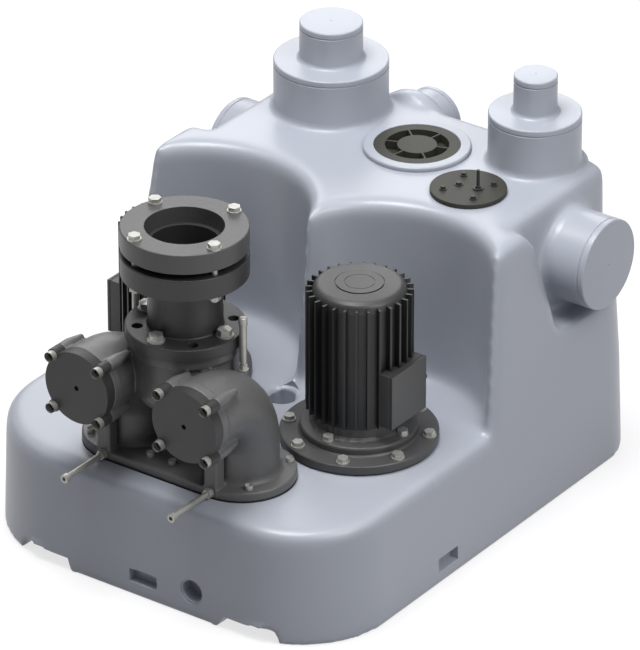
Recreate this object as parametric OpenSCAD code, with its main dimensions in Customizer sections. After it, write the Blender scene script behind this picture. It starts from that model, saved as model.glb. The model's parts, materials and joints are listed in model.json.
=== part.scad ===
// Duplex sewage lifting unit: moulded tank, two flanged motor pumps, twin check valve and clamped outlet
// Origin on the floor under the middle of the tank, X to the right, Y to the back, Z up, millimetres

/* [Tank] */
// Width of the tank at the floor
tank_w = 769; // [740:1:800]
// Depth of the tank at the floor
tank_d = 947; // [930:1:980]
// Height of the tank top above the floor
tank_h = 524; // [505:1:540]
// Height of the pump deck above the floor
deck_z = 206; // [196:1:215]
// Moulded wall thickness
wall = 8; // [6:0.5:10]
// Draft of the outer walls below the deck in degrees
draft = 2; // [1:0.1:3]
// Draft of the tall rear part in degrees
tower_draft = 4; // [3:0.1:5]
// Plan radius of the front left corner
front_left_r = 202; // [190:1:210]
// Plan radius of the front right corner
front_right_r = 168; // [160:1:180]
// Plan radius of the back corners
back_r = 107; // [100:1:115]
// Rounding of the tank's top edges
edge_r = 20; // [16:1:26]
// Height of the feet under the front rim
foot_h = 22; // [16:1:26]
// Width of each gap between the feet
foot_gap_w = 92; // [70:1:110]
// Distance of each gap from the tank's middle
foot_gap_x = 209; // [195:1:220]

/* [Motor wells] */
// Sideways distance of each well from the outlet axis
well_x = 186; // [184:1:190]
// Distance of the wells behind the outlet axis
well_y = 268; // [262:1:274]
// Radius of each well at the deck
well_r = 188; // [184:1:192]
// Draft of the well walls in degrees
well_draft = 1.8; // [1:0.1:2.5]
// Fillet between the deck and the well walls
well_fillet = 20; // [14:1:24]
// Nose radius of the ridge between the wells
ridge_r = 8; // [5:0.5:12]
// Nose radius of the tall walls beside the wells
tower_r = 13; // [10:0.5:16]
// Radius of the moulded dimple in the deck
dimple_r = 22; // [16:1:26]
// Depth of the dimple
dimple_depth = 40; // [25:1:50]

/* [Side niches] */
// Distance of each niche wall from the tank's middle, at the tank top
niche_x = 316; // [306:1:322]
// Distance of the niche's front edge behind the outlet axis, at the tank top
niche_y = 500; // [490:1:512]
// Lean of the niche's front wall in degrees
niche_lean = 16.5; // [12:0.5:20]
// Height of the niche floor above the deck
niche_z = 105; // [96:1:112]

/* [Spigots] */
// Radius of the large inlet step
inlet_big_r = 100; // [99:0.5:101]
// Radius of the large inlet's top step
inlet_small_r = 55; // [54:0.5:56]
// Radius of the middle inlet step and of the side spigots
inlet_mid_r = 80; // [79:0.5:81]
// Radius of the vent spigot
vent_r = 37.5; // [37:0.5:38]
// Height of the lower spigot steps
step_low_h = 94; // [80:1:110]
// Height of the upper spigot steps
step_high_h = 69; // [55:1:80]
// Reach of the right side spigot from the tank's middle
side_reach_right = 406; // [400:1:412]
// Reach of the left side spigot from the tank's middle
side_reach_left = 382; // [376:1:412]
// Reach of the back spigot beyond the outlet axis
back_reach = 853; // [845:1:865]
// Radius of the drain hole
drain_r = 19; // [17:0.5:21]
// Height of the drain hole above the floor
drain_z = 47; // [45:1:52]
// Depth of the groove near each spigot end
groove = 1.2; // [0.8:0.1:2]

/* [Inspection lid] */
// Radius of the lid ring
lid_r = 93; // [88:0.5:98]
// Thickness of the lid ring
lid_t = 8; // [6:0.5:10]
// Radius of the lid plug's face
plug_r = 74; // [70:0.5:78]
// Radius of the hole under the plug
lid_hole_r = 70; // [66:0.5:73]
// Radius of the sensor plate
sensor_r = 65.5; // [60:0.5:70]
// Thickness of the sensor plate
sensor_t = 8; // [6:0.5:10]

/* [Pumps] */
// Sideways distance of each pump axis from the outlet axis
pump_x = 194; // [190:1:198]
// Distance of the pump axes behind the outlet axis
pump_y = 220; // [216:1:224]
// Radius of the pump flange
flange_r = 133.7; // [130:0.1:138]
// Thickness of the pump flange
flange_t = 14.5; // [12:0.5:17]
// Radius of the raised ring on the flange
collar_r = 100; // [97:0.5:104]
// Height of the raised ring
collar_h = 16; // [12:0.5:20]
// Height of the bracket between the ring and the motor
bracket_h = 23; // [20:0.5:27]
// Root radius of the motor housing
motor_r = 79; // [77:0.5:81]
// Height of the motor housing
motor_h = 216; // [206:1:226]
// Number of cooling fins
fin_count = 28; // [20:1:32]
// Reach of a fin beyond the housing
fin_reach = 11; // [8:0.5:13]
// Thickness of a fin
fin_t = 4; // [3:0.1:5]
// Height of the motor end cap
cap_h = 21; // [18:0.5:25]
// Shaft radius
shaft_r = 12; // [10:0.5:14]
// Impeller radius
impeller_r = 80; // [72:0.5:84]
// Number of impeller blades
blade_count = 7; // [5:1:9]
// Outer radius of the pump casing
volute_r = 104; // [102:0.5:105]
// Depth of the pump casing below its cover
volute_h = 92; // [86:1:96]

/* [Check valve] */
// Sideways distance of each valve from the outlet axis
valve_x = 110; // [108:0.5:112]
// Distance of the valve legs behind the outlet axis
valve_y = 6; // [4:0.5:8]
// Radius of the base plate ends
plate_r = 91; // [90:0.5:92]
// Thickness of the base plate
plate_t = 16; // [14:0.5:18]
// Outer radius of the valve elbows
elbow_r = 62; // [60:0.5:63]
// Wall of the valve elbows
elbow_wall = 11; // [9:0.5:12]
// Bend radius of the valve elbows
bend_r = 97; // [92:0.5:100]
// Distance of the cover face in front of the outlet axis
cover_y = 153; // [148:0.5:158]
// Thickness of the round covers
cover_t = 19; // [16:0.5:22]
// Radius of the round covers
cover_r = 64.5; // [62:0.5:66]
// Half the spacing of the cover screws
cover_half = 47.7; // [46:0.1:49]
// Radius of the port through the base plate
port_r = 36; // [35:0.5:36.5]
// Radius of the check flap
flap_r = 42; // [41.5:0.5:42.5]
// Opening angle of the check flap in degrees
flap_open = 40; // [30:1:42]
// Radius of the outlet bowl
bowl_r = 88; // [86:0.5:90]

/* [Outlet] */
// Radius of the outlet flange
outlet_r = 100; // [98:0.5:102]
// Thickness of the outlet flange
outlet_t = 22; // [20:0.5:25]
// Pitch radius of the outlet flange bolts
outlet_pitch_r = 80; // [79:0.5:81]
// Radius of the outlet passage
outlet_bore = 50; // [46:0.5:52]
// Radius of the neck
neck_r = 62.5; // [60:0.5:65]
// Radius of the clamp rings
clamp_r = 106.6; // [103:0.1:110]
// Thickness of the upper clamp ring
clamp_top_t = 35; // [32:0.5:38]
// Thickness of the lower clamp ring
clamp_low_t = 38; // [35:0.5:42]
// Gap between the clamp rings
clamp_gap = 12; // [10:0.5:15]
// Height of the clamp's top face above the deck
clamp_z = 436; // [430:1:445]
// Radius of the pipe opening in the upper clamp ring
clamp_bore = 66; // [64:0.5:68]
// Pitch radius of the clamp bolts
clamp_pitch_r = 94.5; // [92:0.5:96]
// Radius of the pipe that the sleeve grips
pipe_r = 57; // [55:0.1:58]

/* [Fits] */
// Radial clearance of a running fit
run_fit = 0.05; // [0.02:0.01:0.08]
// Radial clearance of a bolt hole
bolt_fit = 0.5; // [0.3:0.1:1]
// Thickness of the flat gaskets
gasket_t = 2; // [1.5:0.5:3]
// Clearance beside loose inner parts
loose = 0.4; // [0.3:0.1:0.8]

/* [Hidden] */
$fn = 96;

tank_color = [0.62, 0.65, 0.70];
lid_color = [0.80, 0.82, 0.86];
iron_color = [0.24, 0.24, 0.25];
cover_color = [0.20, 0.20, 0.21];
steel_color = [0.74, 0.74, 0.70];
olive_color = [0.33, 0.33, 0.30];
rubber_color = [0.10, 0.10, 0.10];

// The outlet axis stands over the deck, a little right of the tank's middle
stack_x = 6;
stack_y = -tank_d / 2 + 132;
slope = tan(draft);
tower_slope = tan(tower_draft);
well_slope = tan(well_draft);
top_z = tank_h - deck_z;
cut = 1;
fillet_step = 15;

// Spigot places from the outlet axis
inlet_big = [-197, 683];
inlet_mid = [203, 718];
lid_at = [15, 639];
sensor_at = [178, 557];
nipple_at = [17, 4];
entry_at = [-19, -1];
dimple_at = [0, 268];
side_y = 654;
side_z = 205;
side_start = 280;
inner_start = side_start - 10;
side_foot = niche_x - 2;
spigot_flare = 4;
foot_depth = 70;
back_at = [-95, 260];
hump_r = 75;
hump_y = 803;
hump_length = 34;
foot_gap_shift = 15;
drain_x = 111;
anchor_x = 10;
anchor_back = 220;
anchor_y = stack_y + anchor_back;
anchor_z = 36;
slot_depth = 16;
groove_from_end = 10;
groove_w = 2;
centre_mark_r = 1.5;

// Heights on the pump axis from the deck
pad_h = 5;
pad_r = flange_r + 4;
flange_z = pad_h + gasket_t;
collar_z = flange_z + flange_t;
bracket_z = collar_z + collar_h;
motor_z = bracket_z + bracket_h;
cap_z = motor_z + motor_h;
fin_from = 4;
fin_over_cap = 10;
fin_r = motor_r + fin_reach;
motor_bore = motor_r - 8;
spigot_r = volute_r - 8;
spigot_bottom = -25;
casing_hole_r = volute_r + 3;
volute_wall = 10;
volute_bore = volute_r - volute_wall - 2;
volute_z = spigot_bottom - volute_h;
suction_r = 40;
flange_bolt_count = 8;
flange_bolt_r = 120;
collar_bolt_count = 4;
collar_bolt_r = 88;
bearing_r = 26;
bearing_h = 16;
seal_r = 20;
seal_h = 20;
low_bearing_z = motor_z - bearing_h - 2;
high_bearing_z = cap_z - 26;
rotor_gap = 1;
stator_bore = 45;
stator_z = motor_z + 25;
stator_h = motor_h - 70;
hub_r = 24;
blade_h = 32;
blade_t = 6;
impeller_top = spigot_bottom - 8;
shroud_t = 8;

// Terminal box beside each motor
box_from = motor_r - 5;
box_to = 101;
box_w = 98;
box_h = 98;
box_z = 71;
box_lid_t = 6;
gland_x = 88;

// Check valve heights from the deck
plate_z = gasket_t;
plate_top = plate_z + plate_t;
cover_z = 165;
cover_back = cover_y - cover_t;
housing_front = cover_back - gasket_t;
bend_y = valve_y - bend_r;
bend_z = cover_z - bend_r;
elbow_bore = elbow_r - elbow_wall;
lug_r = 11;
lug_back = 24;
lug_taper = 34;
post_w = 27;
post_d = 24;
screw_z = 11;
screw_r = 5;
port_y = valve_y + 4;
hinge_y = port_y - flap_r;
hinge_z = 34;
hinge_r = 4;
barrel_r = 8;
barrel_w = 20;
ear_w = 8;
ear_z = 27;
flap_t = 6;
flap_drop = 0.3;
heel_w = 12;
heel_front = 4;
heel_bottom = 27;
pin_l = barrel_w + 2 * ear_w + 2 * loose;
pocket_y = hinge_y - heel_front - 1.5;
pocket_z = 5.5;
pocket_w = heel_w + 3;
lift_gap = 0.5;
lift_tip_r = 2.5;
lift_tip_l = 22;
lift_tip = hinge_y - heel_front - lift_gap;
lift_end = -191;
bowl_bottom = 108;
bowl_round = 45;
bowl_bore = 66;
bowl_top = 233;
bowl_rim_r = 93;
bowl_rim_h = 16;
cross_r = 30;
cross_y = -6;
vent_y = 10;
vent_r_rod = 4.2;
vent_seat = 199;
vent_head = 290;
vent_low = 186;

// Outlet heights from the deck
outlet_z = bowl_top + gasket_t;
neck_z = outlet_z + outlet_t;
clamp_top_z = clamp_z - clamp_top_t;
clamp_mid_z = clamp_top_z - clamp_gap;
clamp_low_z = clamp_mid_z - clamp_low_t;
sleeve_r = clamp_bore - loose;
sleeve_low = clamp_mid_z - 18;
sleeve_high = clamp_top_z + 6;
outlet_hole_count = 8;
outlet_bolt_count = 4;
outlet_bolt_r = 8;
outlet_hole_r = 9;
outlet_bolt_down = 19;
clamp_bolt_count = 4;
clamp_bolt_turn = -22.5;
clamp_bolt_rod = 5.5;

// Bolt head sizes: across-flats radius and height
hex_big = 13.9;
hex_big_h = 10;
hex_mid = 9.8;
hex_mid_h = 7;
socket_head_r = 9;
socket_head_h = 12;
socket_key_r = 5.7;
washer_t = 2.5;

module at_deck(place = [0, 0, 0]) {
    translate([stack_x, stack_y, deck_z]) translate(place) children();
}

module ring(outer, inner, h) {
    difference() {
        cylinder(r = outer, h = h);
        translate([0, 0, -cut]) cylinder(r = inner, h = h + 2 * cut);
    }
}

module around(count, radius, turn = 0) {
    for (i = [0:count - 1]) rotate(turn + i * 360 / count) translate([radius, 0, 0]) children();
}

module along_y() { rotate([-90, 0, 0]) children(); }

// Hexagon head screw standing on z = 0, its shank reaching down
module hex_bolt(head_r, head_h, rod, length, washer_r) {
    cylinder(r = washer_r, h = washer_t);
    translate([0, 0, washer_t]) cylinder(r = head_r, h = head_h, $fn = 6);
    translate([0, 0, -length]) cylinder(r = rod, h = length + washer_t);
}

// Socket head screw standing on z = 0, its shank reaching down
module socket_screw(rod, length, head_r = socket_head_r, head_h = socket_head_h, key = socket_key_r) {
    difference() {
        cylinder(r = head_r, h = head_h);
        translate([0, 0, head_h / 2]) cylinder(r = key, h = head_h, $fn = 6);
    }
    translate([0, 0, -length]) cylinder(r = rod, h = length + cut);
}

// One corner post of the drafted tank body, with its rounded top edge
module corner_post(r, z0, z1, round_r, lean) {
    top_r = r - (z1 - round_r - z0) * lean;
    rotate_extrude($fn = 60)
        polygon(concat(
            [[0, z0], [r, z0]],
            [for (a = [0:fillet_step:90])
                [top_r - round_r + round_r * cos(a), z1 - round_r + round_r * sin(a)]],
            [[0, z1]]));
}

// Drafted block on the tank's footprint, its walls moved in at z0 by inset
module tank_block(z0, z1, inset, round_r, lean) {
    hull() {
        translate([-tank_w / 2 + front_left_r, -tank_d / 2 + front_left_r])
            corner_post(front_left_r - inset, z0, z1, round_r, lean);
        translate([tank_w / 2 - front_right_r, -tank_d / 2 + front_right_r])
            corner_post(front_right_r - inset, z0, z1, round_r, lean);
        for (side = [-1, 1]) translate([side * (tank_w / 2 - back_r), tank_d / 2 - back_r])
            corner_post(back_r - inset, z0, z1, round_r, lean);
    }
}

// Space of one motor well above the deck, grown outwards by grow
module well_space(side, grow = 0) {
    r0 = well_r + grow;
    r1 = r0 + (top_z - edge_r) * well_slope;
    depth = 40 + grow;
    at_deck([side * well_x, well_y, 0]) rotate_extrude()
        polygon(concat(
            [[0, -depth], [r0 - well_fillet, -depth]],
            [for (a = [0:fillet_step:90])
                [r0 - well_fillet * (1 - sin(a)), -grow + well_fillet * (1 - cos(a))]],
            [for (a = [0:fillet_step:90])
                [r1 + edge_r * (1 - cos(a)), top_z - edge_r + edge_r * sin(a)]],
            [[r1 + edge_r, top_z + wall + cut], [0, top_z + wall + cut]]));
}

// Everything in front of the wells, above the low deck
module front_space(grow = 0) {
    at_deck([-tank_w, -tank_d, -40 - grow]) cube([2 * tank_w, tank_d + well_y, tank_h]);
}

// Centre of the rounded front of the tall wall beside a well, at a height above the deck
function nose_centre(side, z) = let(
    wall_x = tank_w / 2 - side * stack_x - (deck_z - edge_r) * slope - (z + edge_r) * tower_slope,
    inner_x = wall_x - 2 * tower_r - well_x,
    reach = well_r + z * well_slope)
    [wall_x - tower_r, well_y + sqrt(reach * reach - inner_x * inner_x)];

// Cuts back and rounds the front of the tall wall beside a well
module tower_nose(side, grow = 0) {
    low = nose_centre(side, 0);
    high = nose_centre(side, top_z);
    lean_y = atan((high.y - low.y) / top_z);
    lean_x = atan((low.x - high.x) / top_z);
    at_deck() mirror([side > 0 ? 0 : 1, 0, 0]) translate([low.x, low.y, 0])
        rotate([-lean_y, -lean_x, 0]) difference() {
            translate([-60, -180, -60]) cube([140, 180, top_z + 100]);
            translate([0, 0, -61]) cylinder(r = tower_r - grow, h = top_z + 102);
        }
}

// Rounds the nose of the ridge between the two wells
module ridge_nose() {
    reach = well_r + ridge_r;
    reach_top = reach + top_z * well_slope;
    nose_y = sqrt(reach * reach - well_x * well_x);
    nose_top = sqrt(reach_top * reach_top - well_x * well_x);
    lean = atan((nose_top - nose_y) / top_z);
    touch_x = ridge_r * well_x / reach;
    touch_y = ridge_r * nose_y / reach;
    at_deck([0, well_y + nose_y, 0]) rotate([-lean, 0, 0]) difference() {
        linear_extrude(top_z * 1.1)
            polygon([[-touch_x, -touch_y], [touch_x, -touch_y], [2 * touch_x, -6 * ridge_r],
                [-2 * touch_x, -6 * ridge_r]]);
        translate([0, 0, -cut]) cylinder(r = ridge_r, h = top_z * 1.2, $fn = 48);
    }
}

// Rounds the back corner of a niche wall
module niche_corner(side, grow = 0) {
    corner_r = 42;
    at = [niche_x - corner_r, tank_d / 2 - (deck_z + 150) * slope - corner_r];
    mirror([side > 0 ? 0 : 1, 0, 0]) translate([at.x, at.y, deck_z + niche_z - grow]) difference() {
        cube([tank_w, tank_d, top_z]);
        translate([0, 0, -cut]) cylinder(r = corner_r - grow, h = top_z + 2 * cut);
    }
}

// Recess beside the back of the tank, from which a side spigot stands out
module niche_space(side, grow = 0) {
    front_low = niche_y + (top_z - niche_z) * tan(niche_lean);
    floor_r = 18;
    lean_r = 24;
    far_y = tank_d;
    at_deck([side > 0 ? 0 : -2 * stack_x, 0, 0]) mirror([side > 0 ? 0 : 1, 0, 0])
    intersection() {
        // Profile seen from the side: floor, leaning front wall and its rounded top
        translate([0, 0, 0]) rotate([90, 0, 90]) linear_extrude(tank_w) polygon(concat(
            [for (a = [0:fillet_step:90 - niche_lean])
                [niche_y - grow - lean_r * (1 - cos(a)) , top_z - lean_r + lean_r * sin(a)]],
            [[niche_y - grow - lean_r, top_z + cut + wall], [far_y, top_z + cut + wall], [far_y, niche_z - grow],
             [front_low + floor_r, niche_z - grow],
             [front_low + floor_r * 0.3 - grow, niche_z + floor_r * 0.28 - grow],
             [front_low - floor_r * 0.1 - grow, niche_z + floor_r - grow],
             [niche_y - grow + lean_r * 0.28, top_z - lean_r]]));
        // Profile seen from behind: drafted niche wall and its rounded top
        translate([-stack_x, 2 * tank_d, 0]) rotate([90, 0, 0]) linear_extrude(3 * tank_d) polygon(concat(
            [[niche_x - grow + (top_z - niche_z + 30) * slope, niche_z - 30]],
            [for (a = [0:fillet_step:90])
                [niche_x - grow + edge_r * slope - edge_r * (1 - cos(a)), top_z - edge_r + edge_r * sin(a)]],
            [[niche_x - grow - edge_r, top_z + cut + wall], [tank_w, top_z + cut + wall],
             [tank_w, niche_z - 30]]));
    }
}

// Gap between two feet under the front rim
module foot_gap(side) {
    w = foot_gap_w;
    translate([side * foot_gap_x + foot_gap_shift, -tank_d / 2 + 70, -cut])
        rotate([90, 0, 0]) linear_extrude(200)
            polygon([[-w / 2 - 14, 0], [-w / 2, foot_h + cut], [w / 2, foot_h + cut], [w / 2 + 8, 0]]);
}

// Thickening of the wall round an anchor slot, inside the tank
module anchor_boss() {
    cube([54 + 2 * wall, 2 * (slot_depth + wall), 23 + 2 * wall], center = true);
}

// Thickening of the floor over a gap between two feet, inside the tank
module foot_gap_boss(side) {
    w = foot_gap_w + 2 * wall + 22;
    translate([side * foot_gap_x + foot_gap_shift - w / 2 - 3, -tank_d / 2, -cut])
        cube([w, 70 + wall, foot_h + wall + cut]);
}

// Blind slot in the wall near the floor for an anchor bracket
module anchor_slot() {
    cube([54, 2 * slot_depth, 23], center = true);
}

// Closed spigot with a fine groove near its end and a centre mark
module spigot(r, h) {
    difference() {
        cylinder(r = r, h = h);
        translate([0, 0, h - groove_from_end - groove_w]) ring(r + cut, r - groove, groove_w);
        translate([0, 0, h - 1]) cylinder(r = centre_mark_r, h = 2);
    }
}

// Foot of an upright spigot, flared on the top face and run down into the walls below
module spigot_foot(r) {
    foot_r = r + spigot_flare;
    translate([0, 0, -foot_depth]) cylinder(r1 = foot_r - 28, r2 = foot_r, h = foot_depth - 30);
    translate([0, 0, -30]) cylinder(r = foot_r, h = 30);
    cylinder(r1 = foot_r, r2 = r, h = 6);
}

// Low block and tall rear block, inset for the hollow inside
module tank_form(inset = 0) {
    tower_z = deck_z - edge_r - inset;
    tank_block(inset, deck_z - inset, inset, edge_r - inset, slope);
    difference() {
        tank_block(tower_z, tank_h - inset, inset + tower_z * slope, edge_r - inset, tower_slope);
        for (side = [-1, 1]) {
            well_space(side, inset);
            niche_space(side, inset);
            niche_corner(side, inset);
            tower_nose(side, inset);
        }
        front_space(inset);
        if (inset == 0) ridge_nose();
    }
}

module tank_spigots(inset = 0) {
    low = -30;
    at_deck([inlet_big.x, inlet_big.y, top_z]) {
        translate([0, 0, low]) cylinder(r = inlet_big_r - inset, h = 30 + step_low_h - inset);
        if (inset > 0) cylinder(r = inlet_small_r - inset, h = step_low_h + step_high_h - inset);
    }
    at_deck([inlet_mid.x, inlet_mid.y, top_z]) {
        translate([0, 0, low]) cylinder(r = inlet_mid_r - inset, h = 30 + step_low_h - inset);
        if (inset > 0) cylinder(r = vent_r - inset, h = step_low_h + step_high_h - inset);
    }
}

module tank() color(tank_color) {
    difference() {
        union() {
            tank_form();
            at_deck([inlet_big.x, inlet_big.y, top_z]) spigot_foot(inlet_big_r);
            at_deck([inlet_big.x, inlet_big.y, top_z - 4]) spigot(inlet_big_r, step_low_h + 4);
            at_deck([inlet_big.x, inlet_big.y, top_z + step_low_h - 4])
                spigot(inlet_small_r, step_high_h + 4);
            at_deck([inlet_mid.x, inlet_mid.y, top_z]) spigot_foot(inlet_mid_r);
            at_deck([inlet_mid.x, inlet_mid.y, top_z - 4]) spigot(inlet_mid_r, step_low_h + 4);
            at_deck([inlet_mid.x, inlet_mid.y, top_z + step_low_h - 4]) spigot(vent_r, step_high_h + 4);
            for (side = [-1, 1])
                translate([side * side_start, stack_y + side_y, deck_z + side_z]) rotate([0, side * 90, 0]) {
                    spigot(inlet_mid_r, (side > 0 ? side_reach_right : side_reach_left) - side_start);
                    translate([0, 0, side_foot - side_start])
                        cylinder(r1 = inlet_mid_r + 8, r2 = inlet_mid_r, h = 12);
                }
            at_deck([back_at.x, hump_y - hump_length, back_at.y]) along_y() cylinder(r = hump_r, h = hump_length);
            at_deck([back_at.x, hump_y - 70, back_at.y]) along_y() spigot(inlet_small_r, back_reach - hump_y + 70);
            for (side = [-1, 1]) at_deck([side * pump_x, pump_y, -cut]) cylinder(r = pad_r, h = pad_h + cut);
            at_deck([lid_at.x, lid_at.y, top_z - 30]) cylinder(r = lid_hole_r + 14, h = 30);
        }
        difference() {
            union() {
                tank_form(wall);
                tank_spigots(wall);
                for (side = [-1, 1])
                    translate([side * inner_start, stack_y + side_y, deck_z + side_z]) rotate([0, side * 90, 0])
                        cylinder(r = inlet_mid_r - wall,
                            h = (side > 0 ? side_reach_right : side_reach_left) - inner_start - wall);
                at_deck([back_at.x, hump_y - 100, back_at.y]) along_y()
                    cylinder(r = inlet_small_r - wall, h = back_reach - hump_y + 100 - wall);
            }
            at_deck([dimple_at.x, dimple_at.y, -dimple_depth - wall])
                cylinder(r = dimple_r + wall, h = dimple_depth + wall);
            at_deck([lid_at.x, lid_at.y, top_z - 30]) cylinder(r = lid_hole_r + 14, h = 30);
            at_deck([sensor_at.x, sensor_at.y, top_z - wall - 14]) cylinder(r = sensor_r, h = 30);
            translate([drain_x, -tank_d / 2 + 2, drain_z]) along_y() cylinder(r = drain_r + wall, h = 30);
            for (side = [-1, 1]) foot_gap_boss(side);
            translate([anchor_x, -tank_d / 2, anchor_z]) anchor_boss();
            for (side = [-1, 1])
                translate([side * tank_w / 2, anchor_y, anchor_z]) rotate(90) anchor_boss();
        }
        for (side = [-1, 1]) at_deck([side * pump_x, pump_y, -40]) cylinder(r = casing_hole_r, h = 60);
        for (side = [-1, 1]) at_deck([side * valve_x, port_y, -20]) cylinder(r = riser_r + loose, h = 40);
        at_deck([dimple_at.x, dimple_at.y, 0]) dimple();
        at_deck([lid_at.x, lid_at.y, top_z - 40]) cylinder(r = lid_hole_r, h = 60);
        at_deck([sensor_at.x, sensor_at.y, top_z - 40]) cylinder(r = sensor_r - 20, h = 60);
        for (side = [-1, 1]) foot_gap(side);
        translate([anchor_x, -tank_d / 2, anchor_z]) anchor_slot();
        for (side = [-1, 1])
            translate([side * tank_w / 2, anchor_y, anchor_z]) rotate(90) anchor_slot();
        translate([drain_x, -tank_d / 2 - 10, drain_z]) along_y() cylinder(r = drain_r, h = 36);
    }
}

// Blind dimple with a rolled lip
module dimple() {
    lip = 7;
    rotate_extrude() polygon(concat(
        [[0, -dimple_depth], [dimple_r, -dimple_depth], [dimple_r, -lip]],
        [for (a = [0:fillet_step:90]) [dimple_r + lip * (1 - cos(a)), -lip + lip * sin(a)]],
        [[dimple_r + lip, cut], [0, cut]]));
}

module lid_ring() color(lid_color) {
    bevel = 2;
    at_deck([lid_at.x, lid_at.y, top_z]) rotate_extrude()
        polygon([[plug_r + loose, 0], [lid_r, 0], [lid_r, lid_t - bevel], [lid_r - bevel, lid_t],
            [plug_r + loose, lid_t]]);
}

// Pull-out plug with six grip pockets round its hub
module lid_plug() color(olive_color) {
    face_t = 14;
    body_h = 34;
    body_r = lid_hole_r - 1.2;
    seal_groove_z = -20;
    at_deck([lid_at.x, lid_at.y, top_z]) difference() {
        union() {
            translate([0, 0, 0.3]) cylinder(r = plug_r, h = lid_t - 1.3);
            translate([0, 0, -body_h]) cylinder(r = body_r, h = body_h + cut);
        }
        translate([0, 0, seal_groove_z]) ring(body_r + cut, body_r - 4, 6);
        translate([0, 0, -body_h - cut]) cylinder(r = body_r - 10, h = body_h - face_t + cut);
        difference() {
            translate([0, 0, -face_t + 5]) ring(55, 34, face_t + lid_t);
            for (i = [0:5]) rotate(i * 60 + 20) translate([20, -1.5, -face_t]) cube([50, 3, 40]);
        }
    }
}

module lid_seal() color(rubber_color) {
    seal_groove_z = -20;
    at_deck([lid_at.x, lid_at.y, top_z + seal_groove_z + 3]) rotate_extrude()
        translate([lid_hole_r - 3.4, 0]) circle(r = 2.9, $fn = 32);
}

module sensor_plate() color(olive_color)
    at_deck([sensor_at.x, sensor_at.y, top_z]) difference() {
        cylinder(r = sensor_r, h = sensor_t);
        around(4, sensor_r - 22, 45) translate([0, 0, -cut]) cylinder(r = 3, h = sensor_t + 2 * cut);
        translate([entry_at.x, entry_at.y, sensor_t - 4]) cylinder(r = 8, h = 10);
    }

module sensor_plate_screws() color(olive_color)
    at_deck([sensor_at.x, sensor_at.y, top_z + sensor_t]) around(4, sensor_r - 22, 45) {
        cylinder(r = 6.5, h = 2);
        translate([0, 0, 2]) cylinder(r = 4.6, h = 4, $fn = 6);
        translate([0, 0, -sensor_t + cut]) cylinder(r = 2.9, h = sensor_t);
    }

module hose_nipple() color(olive_color)
    at_deck([sensor_at.x + nipple_at.x, sensor_at.y + nipple_at.y, top_z + sensor_t]) {
        cylinder(r = 9, h = 3);
        translate([0, 0, 3]) cylinder(r = 5, h = 3);
        translate([0, 0, 6]) cylinder(r = 2.8, h = 30);
    }

module cable_entry() color(olive_color)
    at_deck([sensor_at.x + entry_at.x, sensor_at.y + entry_at.y, top_z + sensor_t - 4]) {
        cylinder(r = 7.8, h = 5);
        cylinder(r = 5, h = 9);
    }

// Tube whose trapped air reports the level
module pressure_bell() color(olive_color) {
    bell_r = 22;
    length = 300;
    at_deck([sensor_at.x, sensor_at.y, top_z - length]) difference() {
        cylinder(r = bell_r, h = length);
        translate([0, 0, -cut]) cylinder(r = bell_r - 3, h = length - 3);
    }
}

module at_pump(side, z = 0) { at_deck([side * pump_x, pump_y, z]) children(); }

module pump_gaskets() color(rubber_color)
    for (side = [-1, 1]) at_pump(side, pad_h) difference() {
        ring(flange_r - 1, casing_hole_r, gasket_t);
        around(flange_bolt_count, flange_bolt_r, 22.5) translate([0, 0, -cut])
            cylinder(r = 5 + bolt_fit, h = gasket_t + 2 * cut);
    }

// Cover of the pump casing, which carries the lower bearing and the shaft seal
module pump_cover(side) color(iron_color) {
    lip_r = 5;
    low = spigot_bottom;
    at_pump(side) difference() {
        rotate_extrude() polygon(concat(
            [[shaft_r + 2, low], [spigot_r, low], [spigot_r, flange_z], [flange_r, flange_z],
             [flange_r, collar_z - 1.5], [flange_r - 1.5, collar_z], [collar_r + 3, collar_z],
             [collar_r, collar_z + 3]],
            [for (a = [0:fillet_step:90])
                [collar_r - lip_r * (1 - cos(a)), bracket_z - lip_r + lip_r * sin(a)]],
            [[motor_r + 6, bracket_z + 2], [motor_r, bracket_z + 8], [motor_r, motor_z], [motor_bore, motor_z],
             [motor_bore, motor_z - 6], [bearing_r, motor_z - 6], [bearing_r, low_bearing_z],
             [shaft_r + 2, low_bearing_z]]));
        translate([0, 0, low - cut]) cylinder(r = seal_r, h = seal_h + cut);
        around(flange_bolt_count, flange_bolt_r, 22.5) translate([0, 0, 0])
            cylinder(r = 5 + bolt_fit, h = 40);
        around(collar_bolt_count, collar_bolt_r) {
            translate([0, 0, bracket_z - 20]) cylinder(r = 5, h = 40);
            translate([0, 0, bracket_z]) cylinder(r = 10.3, h = 30);
        }
    }
}

module pump_cover_bolts() color(steel_color)
    for (side = [-1, 1]) at_pump(side, collar_z) around(flange_bolt_count, flange_bolt_r, 22.5)
        hex_bolt(hex_mid, hex_mid_h, 5, flange_t + gasket_t + pad_h - 1, 11.5);

module motor_bolts() color(steel_color)
    for (side = [-1, 1]) at_pump(side, bracket_z) around(collar_bolt_count, collar_bolt_r)
        hex_bolt(hex_mid, hex_mid_h, 4.9, 18, 9.9);

// Finned motor housing with a flat for the terminal box
module motor_housing(side) color(iron_color)
    at_pump(side, motor_z) difference() {
        union() {
            cylinder(r = motor_r, h = motor_h);
            for (i = [0:fin_count - 1]) rotate((i + 0.5) * 360 / fin_count)
                translate([motor_r - 3, -fin_t / 2, fin_from])
                    cube([fin_reach + 3, fin_t, motor_h - fin_from + fin_over_cap]);
        }
        translate([0, 0, -cut]) cylinder(r = motor_bore, h = motor_h + 2 * cut);
        translate([0, 0, motor_h]) cylinder(r = motor_r + 0.3, h = fin_over_cap + cut);
        translate([side > 0 ? box_from : -box_to - 10, -box_w / 2, box_z - motor_z])
            cube([box_to - box_from + 10, box_w, box_h]);
    }

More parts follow.
